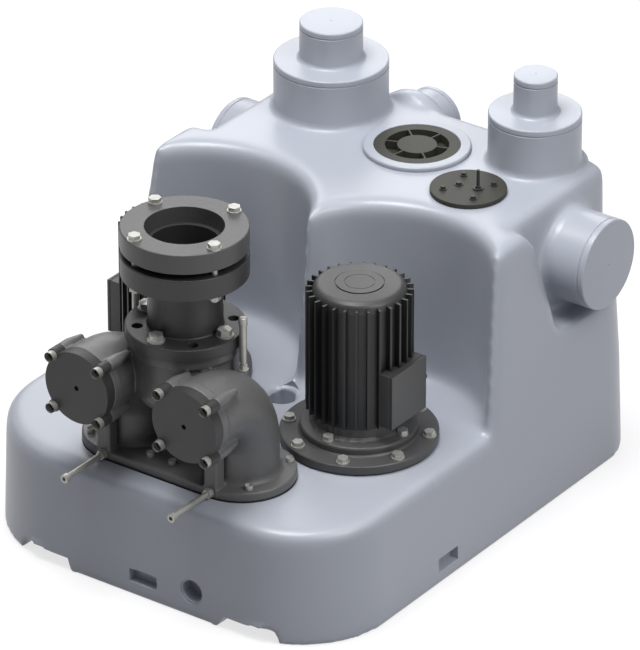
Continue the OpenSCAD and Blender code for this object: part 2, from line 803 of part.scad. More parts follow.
// Domed end cap with the upper bearing seat
module motor_cap(side) color(iron_color) {
    round_r = 14;
    at_pump(side, cap_z) difference() {
        rotate_extrude() polygon(concat(
            [[0, high_bearing_z - cap_z], [bearing_r + 8, high_bearing_z - cap_z], [bearing_r + 8, 0],
             [motor_r, 0]],
            [for (a = [0:fillet_step:90])
                [motor_r - round_r * (1 - cos(a)), cap_h - round_r - 2 + round_r * sin(a)]],
            [[42, cap_h - 1], [42, cap_h - 2.5], [40, cap_h - 2.5], [40, cap_h], [25.5, cap_h],
             [25.5, cap_h - 1], [24.5, cap_h - 1], [24.5, cap_h], [0, cap_h]]));
        translate([0, 0, high_bearing_z - cap_z - cut]) cylinder(r = bearing_r, h = bearing_h + cut);
        translate([0, 0, high_bearing_z - cap_z - cut]) cylinder(r = shaft_r + 2, h = 24);
    }
}

module terminal_box(side) color(iron_color) {
    deep = box_to - box_lid_t - box_from;
    at_pump(side, box_z) mirror([side > 0 ? 0 : 1, 0, 0]) difference() {
        translate([box_from, -box_w / 2, 0]) cube([deep, box_w, box_h]);
        translate([0, 0, -cut]) cylinder(r = motor_r, h = box_h + 2 * cut);
        translate([motor_r + 3, -box_w / 2 + 5, 5]) cube([deep, box_w - 10, box_h - 10]);
    }
}

module terminal_lids() color(iron_color)
    for (side = [-1, 1]) at_pump(side, box_z) mirror([side > 0 ? 0 : 1, 0, 0]) difference() {
        translate([box_to - box_lid_t, -box_w / 2, 0]) cube([box_lid_t, box_w, box_h]);
        translate([box_to - box_lid_t - cut, -box_w / 2 - cut, -cut]) cube([cut + 1, 1.6, box_h + 2]);
        translate([box_to - box_lid_t - cut, -box_w, box_h - 0.6]) cube([cut + 1, 2 * box_w, 2]);
    }

// Closed cable glands on the hidden back faces of the terminal boxes
module cable_glands() color(rubber_color)
    for (side = [-1, 1]) at_pump(side, box_z + box_h / 2) translate([side * gland_x, box_w / 2, 0]) along_y() {
        cylinder(r = 5.5, h = 6);
        translate([0, 0, 2]) cylinder(r = 7, h = 5, $fn = 6);
        translate([0, 0, 7]) cylinder(r1 = 6, r2 = 4.5, h = 8);
    }

module stators() color(steel_color)
    for (side = [-1, 1]) at_pump(side, stator_z) ring(motor_bore, stator_bore, stator_h);

module bearings() color(steel_color)
    for (side = [-1, 1]) {
        at_pump(side, low_bearing_z) ring(bearing_r, shaft_r + run_fit, bearing_h);
        at_pump(side, high_bearing_z) ring(bearing_r, shaft_r + run_fit, bearing_h);
    }

module shaft_seals() color(rubber_color)
    for (side = [-1, 1]) at_pump(side, spigot_bottom) ring(seal_r, shaft_r + run_fit, seal_h);

module shaft(side) color(steel_color)
    at_pump(side, impeller_top - shroud_t - blade_h)
        cylinder(r = shaft_r, h = high_bearing_z + 20 - impeller_top + shroud_t + blade_h);

module rotor(side) color(steel_color)
    at_pump(side, stator_z) ring(stator_bore - rotor_gap, shaft_r, stator_h);

// Vortex impeller: shroud disc, hub and radial blades
module impeller(side) color(iron_color)
    at_pump(side, impeller_top - shroud_t) difference() {
        union() {
            cylinder(r = impeller_r, h = shroud_t);
            translate([0, 0, -blade_h]) cylinder(r = hub_r, h = blade_h + cut);
            for (i = [0:blade_count - 1]) rotate(i * 360 / blade_count)
                translate([hub_r - 5, -blade_t / 2, 2 - blade_h])
                    cube([impeller_r - hub_r + 2, blade_t, blade_h - 2 + cut]);
        }
        translate([0, 0, -blade_h - cut]) cylinder(r = shaft_r, h = blade_h + shroud_t + 2 * cut);
    }

// Direction in plan from a pump axis to its check valve
pump_turn = atan2(port_y - pump_y, valve_x - pump_x);
pipe_run = norm([valve_x - pump_x, port_y - pump_y]);
pipe_z = spigot_bottom - volute_h / 2 + 1;
pipe_in = port_r - 1;
pipe_out = pipe_in + 7;
riser_r = port_r + 7;

module volute(side) color(iron_color)
    at_pump(side) mirror([side > 0 ? 0 : 1, 0, 0]) difference() {
        translate([0, 0, volute_z]) cylinder(r = volute_r, h = volute_h);
        translate([0, 0, volute_z + volute_wall]) cylinder(r = volute_bore, h = volute_h);
        translate([0, 0, volute_z - cut]) cylinder(r = suction_r, h = volute_wall + 2 * cut);
        rotate(pump_turn) translate([volute_bore - 30, 0, pipe_z]) rotate([0, 90, 0]) cylinder(r = pipe_in, h = 80);
    }

// Pipe from the pump casing under the deck up to the base plate port
module discharge_pipe(side) color(iron_color)
    at_pump(side) mirror([side > 0 ? 0 : 1, 0, 0]) difference() {
        union() {
            rotate(pump_turn) translate([0, 0, pipe_z]) rotate([0, 90, 0]) cylinder(r = pipe_out, h = pipe_run);
            rotate(pump_turn) translate([pipe_run, 0, pipe_z - riser_r]) cylinder(r = riser_r, h = riser_r - pipe_z);
        }
        translate([0, 0, volute_z - 2 * cut]) cylinder(r = volute_r, h = volute_h + 4 * cut);
        rotate(pump_turn) translate([volute_r - 20, 0, pipe_z]) rotate([0, 90, 0])
            cylinder(r = pipe_in, h = pipe_run - volute_r + 20);
        rotate(pump_turn) translate([pipe_run, 0, pipe_z - port_r]) cylinder(r = port_r, h = port_r - pipe_z + cut);
    }

module plate_outline() {
    for (side = [-1, 1]) translate([side * valve_x, valve_y]) circle(r = plate_r);
    translate([-valve_x, valve_y - plate_r]) square([2 * valve_x, 2 * plate_r]);
}

module valve_gasket() color(rubber_color)
    at_deck() difference() {
        linear_extrude(gasket_t) plate_outline();
        for (side = [-1, 1]) translate([side * valve_x, port_y, -cut]) cylinder(r = port_r, h = gasket_t + 2 * cut);
        plate_screw_places() translate([0, 0, -60]) cylinder(r = 4 + bolt_fit, h = 80);
    }

// Elbow sweep from the vertical leg to the front opening
module elbow_sweep(r) {
    translate([0, valve_y, plate_z]) cylinder(r = r, h = bend_z - plate_z);
    translate([0, bend_y, bend_z]) rotate([90, 0, 90]) rotate_extrude(angle = 90)
        translate([bend_r, 0]) circle(r = r);
    translate([0, -housing_front, cover_z]) along_y() cylinder(r = r, h = housing_front + bend_y);
}

// Screw lug on the valve housing, running out into the elbow
module housing_lug() {
    along_y() {
        cylinder(r = lug_r, h = lug_back);
        translate([0, 0, lug_back]) cylinder(r1 = lug_r, r2 = lug_r * 0.45, h = lug_taper);
    }
}

module lug_places() {
    for (sx = [-1, 1]) for (sz = [-1, 1]) translate([sx * cover_half, 0, sz * cover_half]) children();
}

module plate_screw_places() {
    for (x = [-34, 11]) translate([x, -55, 0]) children();
    for (side = [-1, 1]) {
        translate([side * (valve_x + 53), -48, 0]) children();
        translate([side * (valve_x + 53), 66, 0]) children();
        translate([side * 40, 84, 0]) children();
    }
}

// Twin check valve: base plate, two elbows, outlet bowl and the posts of the lifting screws
module valve_housing() color(iron_color)
    at_deck() difference() {
        union() {
            translate([0, 0, plate_z]) linear_extrude(plate_t) plate_outline();
            for (side = [-1, 1]) translate([side * valve_x, 0, 0]) {
                elbow_sweep(elbow_r);
                translate([0, valve_y, plate_top]) cylinder(r1 = elbow_r + 5, r2 = elbow_r, h = 6);
                translate([0, -housing_front, cover_z]) along_y() cylinder(r = cover_r, h = 18);
                translate([0, -housing_front, cover_z]) lug_places() housing_lug();
                translate([-post_w / 2, valve_y - plate_r, plate_z])
                    cube([post_w, post_d, cover_z - elbow_r - plate_z + 12]);
                translate([0, vent_y, vent_seat - 30]) cylinder(r = 10, h = 30);
            }
            rotate_extrude() polygon(concat(
                [[0, bowl_bottom]],
                [for (a = [0:fillet_step:90])
                    [bowl_r - bowl_round * (1 - sin(a)), bowl_bottom + bowl_round * (1 - cos(a))]],
                [[bowl_r, bowl_top - bowl_rim_h - 6], [bowl_rim_r, bowl_top - bowl_rim_h],
                 [bowl_rim_r, bowl_top], [0, bowl_top]]));
        }
        for (side = [-1, 1]) translate([side * valve_x, 0, 0]) {
            translate([0, 0, 0]) difference() {
                elbow_sweep(elbow_bore);
                translate([-100, -100, 0]) cube([200, 200, plate_top]);
                hinge_ears();
            }
            translate([0, port_y, plate_z - cut]) cylinder(r = port_r, h = plate_t + 4);
            translate([-pocket_w / 2, pocket_y, pocket_z])
                cube([pocket_w, port_y - port_r + 8 - pocket_y, plate_top - pocket_z + cut]);
            translate([0, -housing_front - cut, cover_z]) along_y() cylinder(r = elbow_bore, h = 30);
            translate([0, -housing_front - cut, cover_z]) lug_places() along_y() cylinder(r = 5, h = 22);
            translate([0, valve_y - plate_r - cut, screw_z]) along_y()
                cylinder(r = screw_r + run_fit, h = pocket_y - valve_y + plate_r + 2 * cut);
            translate([0, vent_y, vent_seat - 40]) cylinder(r = vent_r_rod + run_fit, h = 60);
            translate([-pin_l / 2, hinge_y, hinge_z]) rotate([0, 90, 0]) cylinder(r = hinge_r, h = pin_l);
        }
        translate([0, 0, cover_z - 45]) cylinder(r = bowl_bore, h = bowl_top - cover_z + 45 + cut);
        translate([-valve_x, cross_y, cover_z - 5]) rotate([0, 90, 0]) cylinder(r = cross_r, h = 2 * valve_x);
        around(outlet_bolt_count, outlet_pitch_r) translate([0, 0, bowl_top - outlet_bolt_down])
            cylinder(r = outlet_bolt_r, h = 60);
        plate_screw_places() translate([0, 0, -2]) cylinder(r = 4 + bolt_fit, h = 60);
    }

// Ears inside the leg that hold the hinge pin of the check flap
module hinge_ears() {
    for (s = [-1, 1]) translate([s > 0 ? barrel_w / 2 + loose : -pin_l / 2, -60, ear_z])
        cube([ear_w, 60 + hinge_y + 7, hinge_z + 7 - ear_z]);
}

module valve_base_screws() color(steel_color)
    at_deck([0, 0, plate_top]) plate_screw_places() socket_screw(4, plate_t + gasket_t + 4, 6.5, 8, 4);

module valve_cover(side) color(cover_color)
    at_deck([side * valve_x, -cover_y, cover_z]) difference() {
        union() {
            along_y() cylinder(r = cover_r, h = cover_t);
            lug_places() along_y() cylinder(r = lug_r, h = cover_t);
        }
        lug_places() translate([0, -cut, 0]) along_y() cylinder(r = 5 + bolt_fit, h = cover_t + 2 * cut);
        translate([0, -cut, 0]) along_y() cylinder(r = 4.5, h = 6);
    }

module cover_gaskets() color(rubber_color)
    for (side = [-1, 1]) at_deck([side * valve_x, -cover_back, cover_z]) difference() {
        union() {
            along_y() cylinder(r = cover_r - 0.8, h = gasket_t);
            lug_places() along_y() cylinder(r = lug_r - 0.8, h = gasket_t);
        }
        translate([0, -cut, 0]) along_y() cylinder(r = elbow_bore, h = gasket_t + 2 * cut);
        lug_places() translate([0, -cut, 0]) along_y() cylinder(r = 5 + bolt_fit, h = gasket_t + 2 * cut);
    }

module cover_screws() color(steel_color)
    for (side = [-1, 1]) at_deck([side * valve_x, -cover_y, cover_z]) lug_places()
        rotate([90, 0, 0]) socket_screw(5, cover_t + gasket_t + 20);

// Flap with its hinge barrel and the heel that the lifting screw pushes
module check_flap(side) color(rubber_color)
    at_deck([side * valve_x, 0, 0]) difference() {
        union() {
            difference() {
                translate([0, port_y, plate_top + flap_drop]) cylinder(r = flap_r, h = flap_t);
                translate([-flap_r, hinge_y - flap_r + 2, plate_top]) cube([2 * flap_r, flap_r, 2 * flap_t]);
            }
            translate([-8, hinge_y, plate_top + flap_drop + flap_t - 1]) cube([16, 50, 5]);
            translate([-barrel_w / 2, hinge_y, hinge_z]) rotate([0, 90, 0]) cylinder(r = barrel_r, h = barrel_w);
            translate([-heel_w / 2, hinge_y - heel_front, hinge_z - heel_bottom])
                cube([heel_w, 2 * heel_front, heel_bottom]);
        }
        translate([-barrel_w, hinge_y, hinge_z]) rotate([0, 90, 0])
            cylinder(r = hinge_r + run_fit, h = 2 * barrel_w);
    }

module flap_pins() color(steel_color)
    for (side = [-1, 1]) at_deck([side * valve_x - pin_l / 2, hinge_y, hinge_z]) rotate([0, 90, 0])
        cylinder(r = hinge_r, h = pin_l);

// Screw that lifts the flap off its seat to drain the riser
module lift_screw(side) color(steel_color)
    at_deck([side * valve_x, lift_end, screw_z]) along_y() difference() {
        union() {
            cylinder(r = screw_r, h = lift_tip - lift_end - lift_tip_l);
            cylinder(r = lift_tip_r, h = lift_tip - lift_end);
            cylinder(r = 7.5, h = 9);
        }
        translate([0, 0, -cut]) cylinder(r = 4, h = 6, $fn = 6);
    }

module lift_screw_nuts() color(steel_color)
    for (side = [-1, 1]) at_deck([side * valve_x, valve_y - plate_r - 9, screw_z]) along_y() difference() {
        union() {
            cylinder(r = 8.6, h = 7.5, $fn = 6);
            translate([0, 0, 7]) cylinder(r = 9, h = 2);
        }
        translate([0, 0, -cut]) cylinder(r = screw_r + run_fit, h = 12);
    }

module vent_screw(side) color(steel_color)
    at_deck([side * valve_x, vent_y, vent_low]) {
        cylinder(r = vent_r_rod, h = vent_head - vent_low);
        translate([0, 0, vent_head - vent_low]) cylinder(r = 7.5, h = 6, $fn = 6);
    }

module vent_screw_nuts() color(steel_color)
    for (side = [-1, 1]) at_deck([side * valve_x, vent_y, vent_seat]) difference() {
        union() {
            cylinder(r = 9, h = 1.6);
            translate([0, 0, 1.6]) cylinder(r = 7.5, h = 6.5, $fn = 6);
        }
        translate([0, 0, -cut]) cylinder(r = vent_r_rod + run_fit, h = 12);
    }

module outlet_gasket() color(rubber_color)
    at_deck([0, 0, bowl_top]) difference() {
        ring(bowl_rim_r - 1, outlet_bore, gasket_t);
        around(outlet_bolt_count, outlet_pitch_r) translate([0, 0, -cut])
            cylinder(r = outlet_bolt_r + bolt_fit, h = gasket_t + 2 * cut);
    }

// Outlet flange, neck and lower clamp ring in one casting
module outlet_neck() color(iron_color) {
    socket_z = sleeve_low;
    at_deck() difference() {
        rotate_extrude() polygon([
            [outlet_bore, outlet_z], [outlet_r, outlet_z], [outlet_r, neck_z - 1.5], [outlet_r - 1.5, neck_z],
            [neck_r + 2, neck_z], [neck_r, neck_z + 2], [neck_r, clamp_low_z - 6],
            [neck_r + 6, clamp_low_z], [clamp_r, clamp_low_z], [clamp_r, clamp_mid_z - 1.5],
            [clamp_r - 1.5, clamp_mid_z], [clamp_bore, clamp_mid_z], [clamp_bore, socket_z],
            [outlet_bore, socket_z]]);
        around(outlet_hole_count, outlet_pitch_r) translate([0, 0, outlet_z - cut])
            cylinder(r = outlet_hole_r, h = outlet_t + 2 * cut);
        around(clamp_bolt_count, clamp_pitch_r, clamp_bolt_turn) translate([0, 0, clamp_low_z - cut])
            cylinder(r = clamp_bolt_rod + bolt_fit, h = clamp_low_t + 2 * cut);
    }
}

module outlet_bolts() color(steel_color)
    at_deck([0, 0, neck_z]) around(outlet_bolt_count, outlet_pitch_r)
        hex_bolt(hex_big, hex_big_h, outlet_bolt_r, outlet_t + gasket_t + outlet_bolt_down - 2, 15);

module clamp_sleeve() color(rubber_color)
    at_deck([0, 0, sleeve_low]) ring(sleeve_r, pipe_r, sleeve_high - sleeve_low);

module clamp_ring() color(iron_color)
    at_deck() difference() {
        rotate_extrude() polygon([
            [clamp_bore, clamp_top_z], [clamp_r, clamp_top_z], [clamp_r, clamp_z - 1.5],
            [clamp_r - 1.5, clamp_z], [clamp_bore, clamp_z]]);
        around(clamp_bolt_count, clamp_pitch_r, clamp_bolt_turn) translate([0, 0, clamp_top_z - cut])
            cylinder(r = clamp_bolt_rod + bolt_fit, h = clamp_top_t + 2 * cut);
    }

module clamp_bolts() color(steel_color)
    at_deck([0, 0, clamp_z]) around(clamp_bolt_count, clamp_pitch_r, clamp_bolt_turn) {
        hex_bolt(hex_mid + 1, hex_mid_h, clamp_bolt_rod, clamp_top_t + clamp_gap + clamp_low_t + 12, 12);
        translate([0, 0, -clamp_top_t - clamp_gap - clamp_low_t - 8]) cylinder(r = hex_mid + 1, h = 8, $fn = 6);
    }

tank();
lid_ring();
lid_plug();
lid_seal();
sensor_plate();
sensor_plate_screws();
hose_nipple();
cable_entry();
pressure_bell();
pump_gaskets();
pump_cover(-1);  // pump_cover_left
pump_cover(1);  // pump_cover_right
pump_cover_bolts();
motor_housing(-1);  // motor_housing_left
motor_housing(1);  // motor_housing_right
motor_cap(-1);  // motor_cap_left
motor_cap(1);  // motor_cap_right
motor_bolts();
terminal_box(-1);  // terminal_box_left
terminal_box(1);  // terminal_box_right
terminal_lids();
cable_glands();
stators();
bearings();
shaft_seals();
shaft(-1);  // shaft_left
shaft(1);  // shaft_right
rotor(-1);  // rotor_left
rotor(1);  // rotor_right
impeller(-1);  // impeller_left
impeller(1);  // impeller_right
volute(-1);  // volute_left
volute(1);  // volute_right
discharge_pipe(-1);  // discharge_pipe_left
discharge_pipe(1);  // discharge_pipe_right
valve_gasket();
valve_housing();
valve_base_screws();
valve_cover(-1);  // valve_cover_left
valve_cover(1);  // valve_cover_right
cover_gaskets();
cover_screws();
check_flap(-1);  // check_flap_left
check_flap(1);  // check_flap_right
flap_pins();
lift_screw(-1);  // lift_screw_left
lift_screw(1);  // lift_screw_right
lift_screw_nuts();
vent_screw(-1);  // vent_screw_left
vent_screw(1);  // vent_screw_right
vent_screw_nuts();
outlet_gasket();
outlet_neck();
outlet_bolts();
clamp_sleeve();
clamp_ring();
clamp_bolts();
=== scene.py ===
import bpy, bmesh, json, math, time
import numpy as np
from mathutils import Vector, Matrix

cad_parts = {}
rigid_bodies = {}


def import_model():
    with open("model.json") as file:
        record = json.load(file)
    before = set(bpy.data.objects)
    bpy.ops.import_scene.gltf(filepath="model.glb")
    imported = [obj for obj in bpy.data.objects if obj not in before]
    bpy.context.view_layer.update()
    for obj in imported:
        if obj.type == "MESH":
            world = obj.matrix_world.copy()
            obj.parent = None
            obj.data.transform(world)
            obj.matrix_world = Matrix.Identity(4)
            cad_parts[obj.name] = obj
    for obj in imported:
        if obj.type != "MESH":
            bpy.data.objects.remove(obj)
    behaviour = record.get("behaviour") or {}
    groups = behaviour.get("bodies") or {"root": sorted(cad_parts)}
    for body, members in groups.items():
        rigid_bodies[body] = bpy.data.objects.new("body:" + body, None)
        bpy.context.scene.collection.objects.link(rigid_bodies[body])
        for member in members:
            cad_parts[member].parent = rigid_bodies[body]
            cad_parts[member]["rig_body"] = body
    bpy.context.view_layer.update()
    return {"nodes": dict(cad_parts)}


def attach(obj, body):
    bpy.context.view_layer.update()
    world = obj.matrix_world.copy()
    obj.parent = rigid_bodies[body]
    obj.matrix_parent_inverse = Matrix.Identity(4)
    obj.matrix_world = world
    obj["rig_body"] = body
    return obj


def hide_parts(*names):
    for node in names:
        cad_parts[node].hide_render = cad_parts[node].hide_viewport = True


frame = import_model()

nodes = frame["nodes"]
startTime = time.time()


def report(text):
    print("%5.1f s  %s" % (time.time() - startTime, text))


# shader maths written as plain expressions

class Wire:
    def __init__(self, graph, socket):
        self.graph, self.socket = graph, socket

    def join(self, operation, first, second):
        return self.graph.node("ShaderNodeMath", {"operation": operation}, {0: first, 1: second})

    def __add__(self, other): return self.join("ADD", self, other)
    def __radd__(self, other): return self.join("ADD", other, self)
    def __sub__(self, other): return self.join("SUBTRACT", self, other)
    def __mul__(self, other): return self.join("MULTIPLY", self, other)
    def atLeast(self, other): return self.join("MAXIMUM", self, other)
    def atMost(self, other): return self.join("MINIMUM", self, other)


class Graph:  # the emptied node tree of a material or a world
    def __init__(self, owner):
        owner.use_nodes = True
        self.tree = owner.node_tree
        self.tree.nodes.clear()

    def node(self, kind, settings=None, values=None, output=0):
        made = self.tree.nodes.new(kind)
        for key, value in (settings or {}).items():
            if key == "stops":  # (position, colour) pairs of a ramp, from low to high
                ramp = made.color_ramp
                while len(ramp.elements) < len(value):
                    ramp.elements.new(0.5)
                for stop, (at, shade) in zip(ramp.elements, value):
                    stop.position, stop.color = at, (*shade, 1)
            else:
                setattr(made, key, value)
        for key, value in (values or {}).items():
            if isinstance(value, Wire):
                self.tree.links.new(value.socket, made.inputs[key])
            elif made.inputs[key].type == "RGBA" and len(value) == 3:
                made.inputs[key].default_value = (*value, 1)
            else:
                made.inputs[key].default_value = value
        return Wire(self, made.outputs[output])

    def close(self, kind, shader):  # links the last shader to the output node
        self.tree.links.new(shader.socket, self.tree.nodes.new(kind).inputs[0])


class Finish(Graph):
    def __init__(self, name):
        self.material = bpy.data.materials.new(name)
        super().__init__(self.material)
        self.place = self.node("ShaderNodeTexCoord", output="Object")

    def noise(self, scale, detail=2.0, rough=0.5, stretch=None):
        at = self.place
        if stretch:
            at = self.node("ShaderNodeMapping", None, {"Vector": at, "Scale": stretch})
        values = {"Vector": at, "Scale": scale, "Detail": detail, "Roughness": rough}
        return self.node("ShaderNodeTexNoise", None, values)

    def blend(self, mask, first, second):
        return self.node("ShaderNodeMix", {"data_type": "RGBA"}, {0: mask, 6: first, 7: second}, output=2)

    def bump(self, height, depth, under=None):
        values = {"Height": height, "Strength": 1.0, "Distance": depth}
        if under:
            values["Normal"] = under
        return self.node("ShaderNodeBump", None, values)

    def surface(self, values):
        self.close("ShaderNodeOutputMaterial", self.node("ShaderNodeBsdfPrincipled", None, values))
        return self.material


# moulded plastic and rubber: fine orange peel, faint clouding, slightly duller where it was handled
tankPlastic = {"colour": (0.375, 0.398, 0.452), "dusk": (0.340, 0.362, 0.414), "rough": 0.33,
               "peel": 0.00010, "waves": 0.0006}
lidPlastic = {"colour": (0.36, 0.385, 0.435), "dusk": (0.335, 0.36, 0.41), "rough": 0.36,
              "peel": 0.00006, "waves": 0.0002}
olivePlastic = {"colour": (0.048, 0.048, 0.040), "dusk": (0.038, 0.038, 0.032), "rough": 0.50, "shine": 0.2,
                "peel": 0.00006, "waves": 0.0001}
glandPlastic = {"colour": (0.032, 0.032, 0.033), "dusk": (0.022, 0.022, 0.023), "rough": 0.5,
                "peel": 0.00008, "waves": 0.0001}
sealRubber = {"colour": (0.020, 0.020, 0.021), "dusk": (0.013, 0.013, 0.014), "rough": 0.72,
              "peel": 0.00008, "waves": 0.0001}
plasticGrain = {"clouds": 3.5, "speckle": 420.0, "peel": 230.0, "waves": 9.0, "cloudShare": 0.75, "speckleShare": 0.25,
                "base": 0.30, "contrast": 2.2, "roughByCloud": 0.16, "roughBySpeckle": 0.05, "shine": 0.5}


def makePlastic(name, look):
    g = plasticGrain
    f = Finish(name)
    clouds = f.noise(g["clouds"], 3.0)
    speckle = f.noise(g["speckle"], 2.0, 0.6)
    mask = (clouds * g["cloudShare"] + speckle * g["speckleShare"] - g["base"]) * g["contrast"]
    waves = f.bump(f.noise(g["waves"], 1.0), look["waves"])
    return f.surface({
        "Base Color": f.blend(mask.atLeast(0.0).atMost(1.0), look["dusk"], look["colour"]),
        "Roughness": look["rough"] + (clouds - 0.5) * g["roughByCloud"] + (speckle - 0.5) * g["roughBySpeckle"],
        "Specular IOR Level": look.get("shine", g["shine"]),
        "Normal": f.bump(f.noise(g["peel"]), look["peel"], waves)})


# powder coat over a sand casting; the valve, neck and fin coats are lightened or darkened copies that carry painted
# light and painted shade
castCoat = {"colour": (0.078, 0.078, 0.079), "dusk": (0.058, 0.058, 0.059), "rough": 0.42,
            "grain": 0.00016, "pits": 0.0004}
# the valve casting's coat is painted lighter than the other castings: painted light on its shaded top faces
valveCoatPaintedLight = {"colour": (0.125, 0.125, 0.126), "dusk": (0.098, 0.098, 0.099), "rough": 0.40,
             "grain": 0.00016, "pits": 0.0004}
# the outlet neck's coat is painted darker than the other castings: painted shade from the clamp ring above it
neckCoatPaintedShade = {"colour": (0.040, 0.040, 0.041), "dusk": (0.030, 0.030, 0.031), "rough": 0.45,
            "grain": 0.00016, "pits": 0.0003}
coverCoat = {"colour": (0.034, 0.034, 0.035), "dusk": (0.028, 0.028, 0.029), "rough": 0.48,
             "grain": 0.00010, "pits": 0.0001}
motorCoat = {"colour": (0.042, 0.042, 0.042), "dusk": (0.033, 0.033, 0.034), "rough": 0.42,
             "grain": 0.00010, "pits": 0.0002}
# the finned motor housings are painted darker than the motor caps: painted shade between the fins
finCoatPaintedShade = {"colour": (0.016, 0.016, 0.016), "dusk": (0.012, 0.012, 0.013), "rough": 0.44,
           "grain": 0.00010, "pits": 0.0002}
castGrain = {"clouds": 14.0, "grain": 700.0, "pits": 95.0, "cloudShare": 0.6, "grainShare": 0.4,
             "base": 0.25, "contrast": 2.0, "roughByGrain": 0.18, "roughByCloud": 0.12}


def makeCasting(name, look):
    g = castGrain
    f = Finish(name)
    clouds = f.noise(g["clouds"], 3.0)
    grain = f.noise(g["grain"], 2.0, 0.6)
    mask = (clouds * g["cloudShare"] + grain * g["grainShare"] - g["base"]) * g["contrast"]
    pits = f.bump(f.noise(g["pits"], 3.0, 0.65), look["pits"])
    return f.surface({
        "Base Color": f.blend(mask, look["dusk"], look["colour"]),
        "Roughness": look["rough"] + (grain - 0.5) * g["roughByGrain"] + (clouds - 0.5) * g["roughByCloud"],
        "Normal": f.bump(grain, look["grain"], pits)})


# plain stainless fasteners, ground shafts, copper windings
stainless = {"colour": (0.50, 0.50, 0.465), "stain": (0.37, 0.37, 0.345), "rough": 0.42, "metal": 0.55}
# the base screws' stainless is painted lighter and less metallic: a painted highlight on their heads
stainlessPaintedHighlight = {"colour": (0.66, 0.66, 0.63), "stain": (0.52, 0.52, 0.50), "rough": 0.46, "metal": 0.15}
groundSteel = {"colour": (0.52, 0.52, 0.52), "stain": (0.45, 0.45, 0.44), "rough": 0.26, "metal": 1.0}
copperWire = {"colour": (0.44, 0.19, 0.08), "stain": (0.30, 0.12, 0.05), "rough": 0.38, "metal": 0.8}
metalGrain = {"clouds": 60.0, "lines": 260.0, "stretch": (1, 1, 9), "contrast": 1.6, "base": 0.35,
              "roughByLine": 0.22, "roughByCloud": 0.14, "depth": 0.00004}


def makeMetal(name, look):
    g = metalGrain
    f = Finish(name)
    clouds = f.noise(g["clouds"], 3.0)
    lines = f.noise(g["lines"], 2.0, 0.6, g["stretch"])
    mask = (clouds * g["contrast"] - g["base"]).atLeast(0.0).atMost(1.0)
    return f.surface({
        "Base Color": f.blend(mask, look["stain"], look["colour"]), "Metallic": look["metal"],
        "Roughness": look["rough"] + (lines - 0.5) * g["roughByLine"] + (clouds - 0.5) * g["roughByCloud"],
        "Normal": f.bump(lines, g["depth"])})


finishes = {
    "tank": makePlastic("tankPlastic", tankPlastic), "lid": makePlastic("lidPlastic", lidPlastic),
    "olive": makePlastic("olivePlastic", olivePlastic), "gland": makePlastic("glandPlastic", glandPlastic),
    "rubber": makePlastic("sealRubber", sealRubber), "cast": makeCasting("castCoat", castCoat),
    "cover": makeCasting("coverCoat", coverCoat), "motor": makeCasting("motorCoat", motorCoat),
    "fins": makeCasting("finCoatPaintedShade", finCoatPaintedShade), "valve": makeCasting("valveCoatPaintedLight", valveCoatPaintedLight),
    "neck": makeCasting("neckCoatPaintedShade", neckCoatPaintedShade), "steel": makeMetal("stainless", stainless),
    "bright": makeMetal("stainlessPaintedHighlight", stainlessPaintedHighlight), "shaft": makeMetal("groundSteel", groundSteel),
    "copper": makeMetal("copperWire", copperWire)}
finishOf = {
    "tank": "tank discharge_pipe_left discharge_pipe_right", "lid": "lid_ring", "olive": "lid_plug sensor_plate",
    "gland": "cable_entry pressure_bell cable_glands hose_nipple sensor_plate_screws",
    "rubber": "lid_seal pump_gaskets shaft_seals valve_gasket cover_gaskets check_flap_left check_flap_right "
              "outlet_gasket clamp_sleeve",
    "cast": "pump_cover_left pump_cover_right impeller_left impeller_right volute_left volute_right clamp_ring",
    # valve_housing takes the lighter coat with painted light, outlet_neck the darker coat with painted shade
    "valve": "valve_housing", "neck": "outlet_neck", "cover": "valve_cover_left valve_cover_right",
    "motor": "motor_cap_left motor_cap_right terminal_box_left terminal_box_right terminal_lids",
    # the motor housings take the darker fin coat with painted shade
    "fins": "motor_housing_left motor_housing_right",
    "steel": "pump_cover_bolts motor_bolts cover_screws flap_pins lift_screw_left lift_screw_right lift_screw_nuts "
             "vent_screw_left vent_screw_right vent_screw_nuts outlet_bolts clamp_bolts",
    # the valve base screws take the lighter stainless with a painted highlight
    "bright": "valve_base_screws",
    "shaft": "bearings shaft_left shaft_right rotor_left rotor_right", "copper": "stators"}
finishByNode = {name: finish for finish, names in finishOf.items() for name in names.split()}


def paint(mesh, material):
    mesh.materials.clear()
    mesh.materials.append(material)


for name, obj in nodes.items():
    paint(obj.data, finishes[finishByNode[name]])
report("materials")


# mesh helpers
weldGap = 0.00002
sharpFrom = {"plain": 30, "turned": 40, "screws": 48, "fine": 50, "carved": 50}  # degrees between two faces


def show(name, data):  # a new object in the scene
    obj = bpy.data.objects.new(name, data)
    bpy.context.scene.collection.objects.link(obj)
    return obj


def showMesh(name, made):  # a bmesh that is finished with
    mesh = bpy.data.meshes.new(name)
    made.to_mesh(mesh)
    made.free()
    return show(name, mesh)


def smooth(obj, kind=None):
    obj.data.shade_smooth()
    if kind:
        obj.data.set_sharp_from_angle(angle=math.radians(sharpFrom[kind]))


def welded(node):
    made = bmesh.new()
    made.from_mesh(nodes[node].data)
    bmesh.ops.remove_doubles(made, verts=made.verts, dist=weldGap)
    return made


def bake(obj):  # turns the object's modifiers into its own mesh
    graph = bpy.context.evaluated_depsgraph_get()
    mesh = bpy.data.meshes.new_from_object(obj.evaluated_get(graph))
    obj.modifiers.clear()
    old, obj.data = obj.data, mesh
    mesh.name = obj.name
    bpy.data.meshes.remove(old)


def roundEdges(obj, width, fromDegrees):
    edge = obj.modifiers.new("edge", "BEVEL")
    edge.width, edge.segments = width, 2
    edge.limit_method, edge.angle_limit = "ANGLE", math.radians(fromDegrees)
    bake(obj)


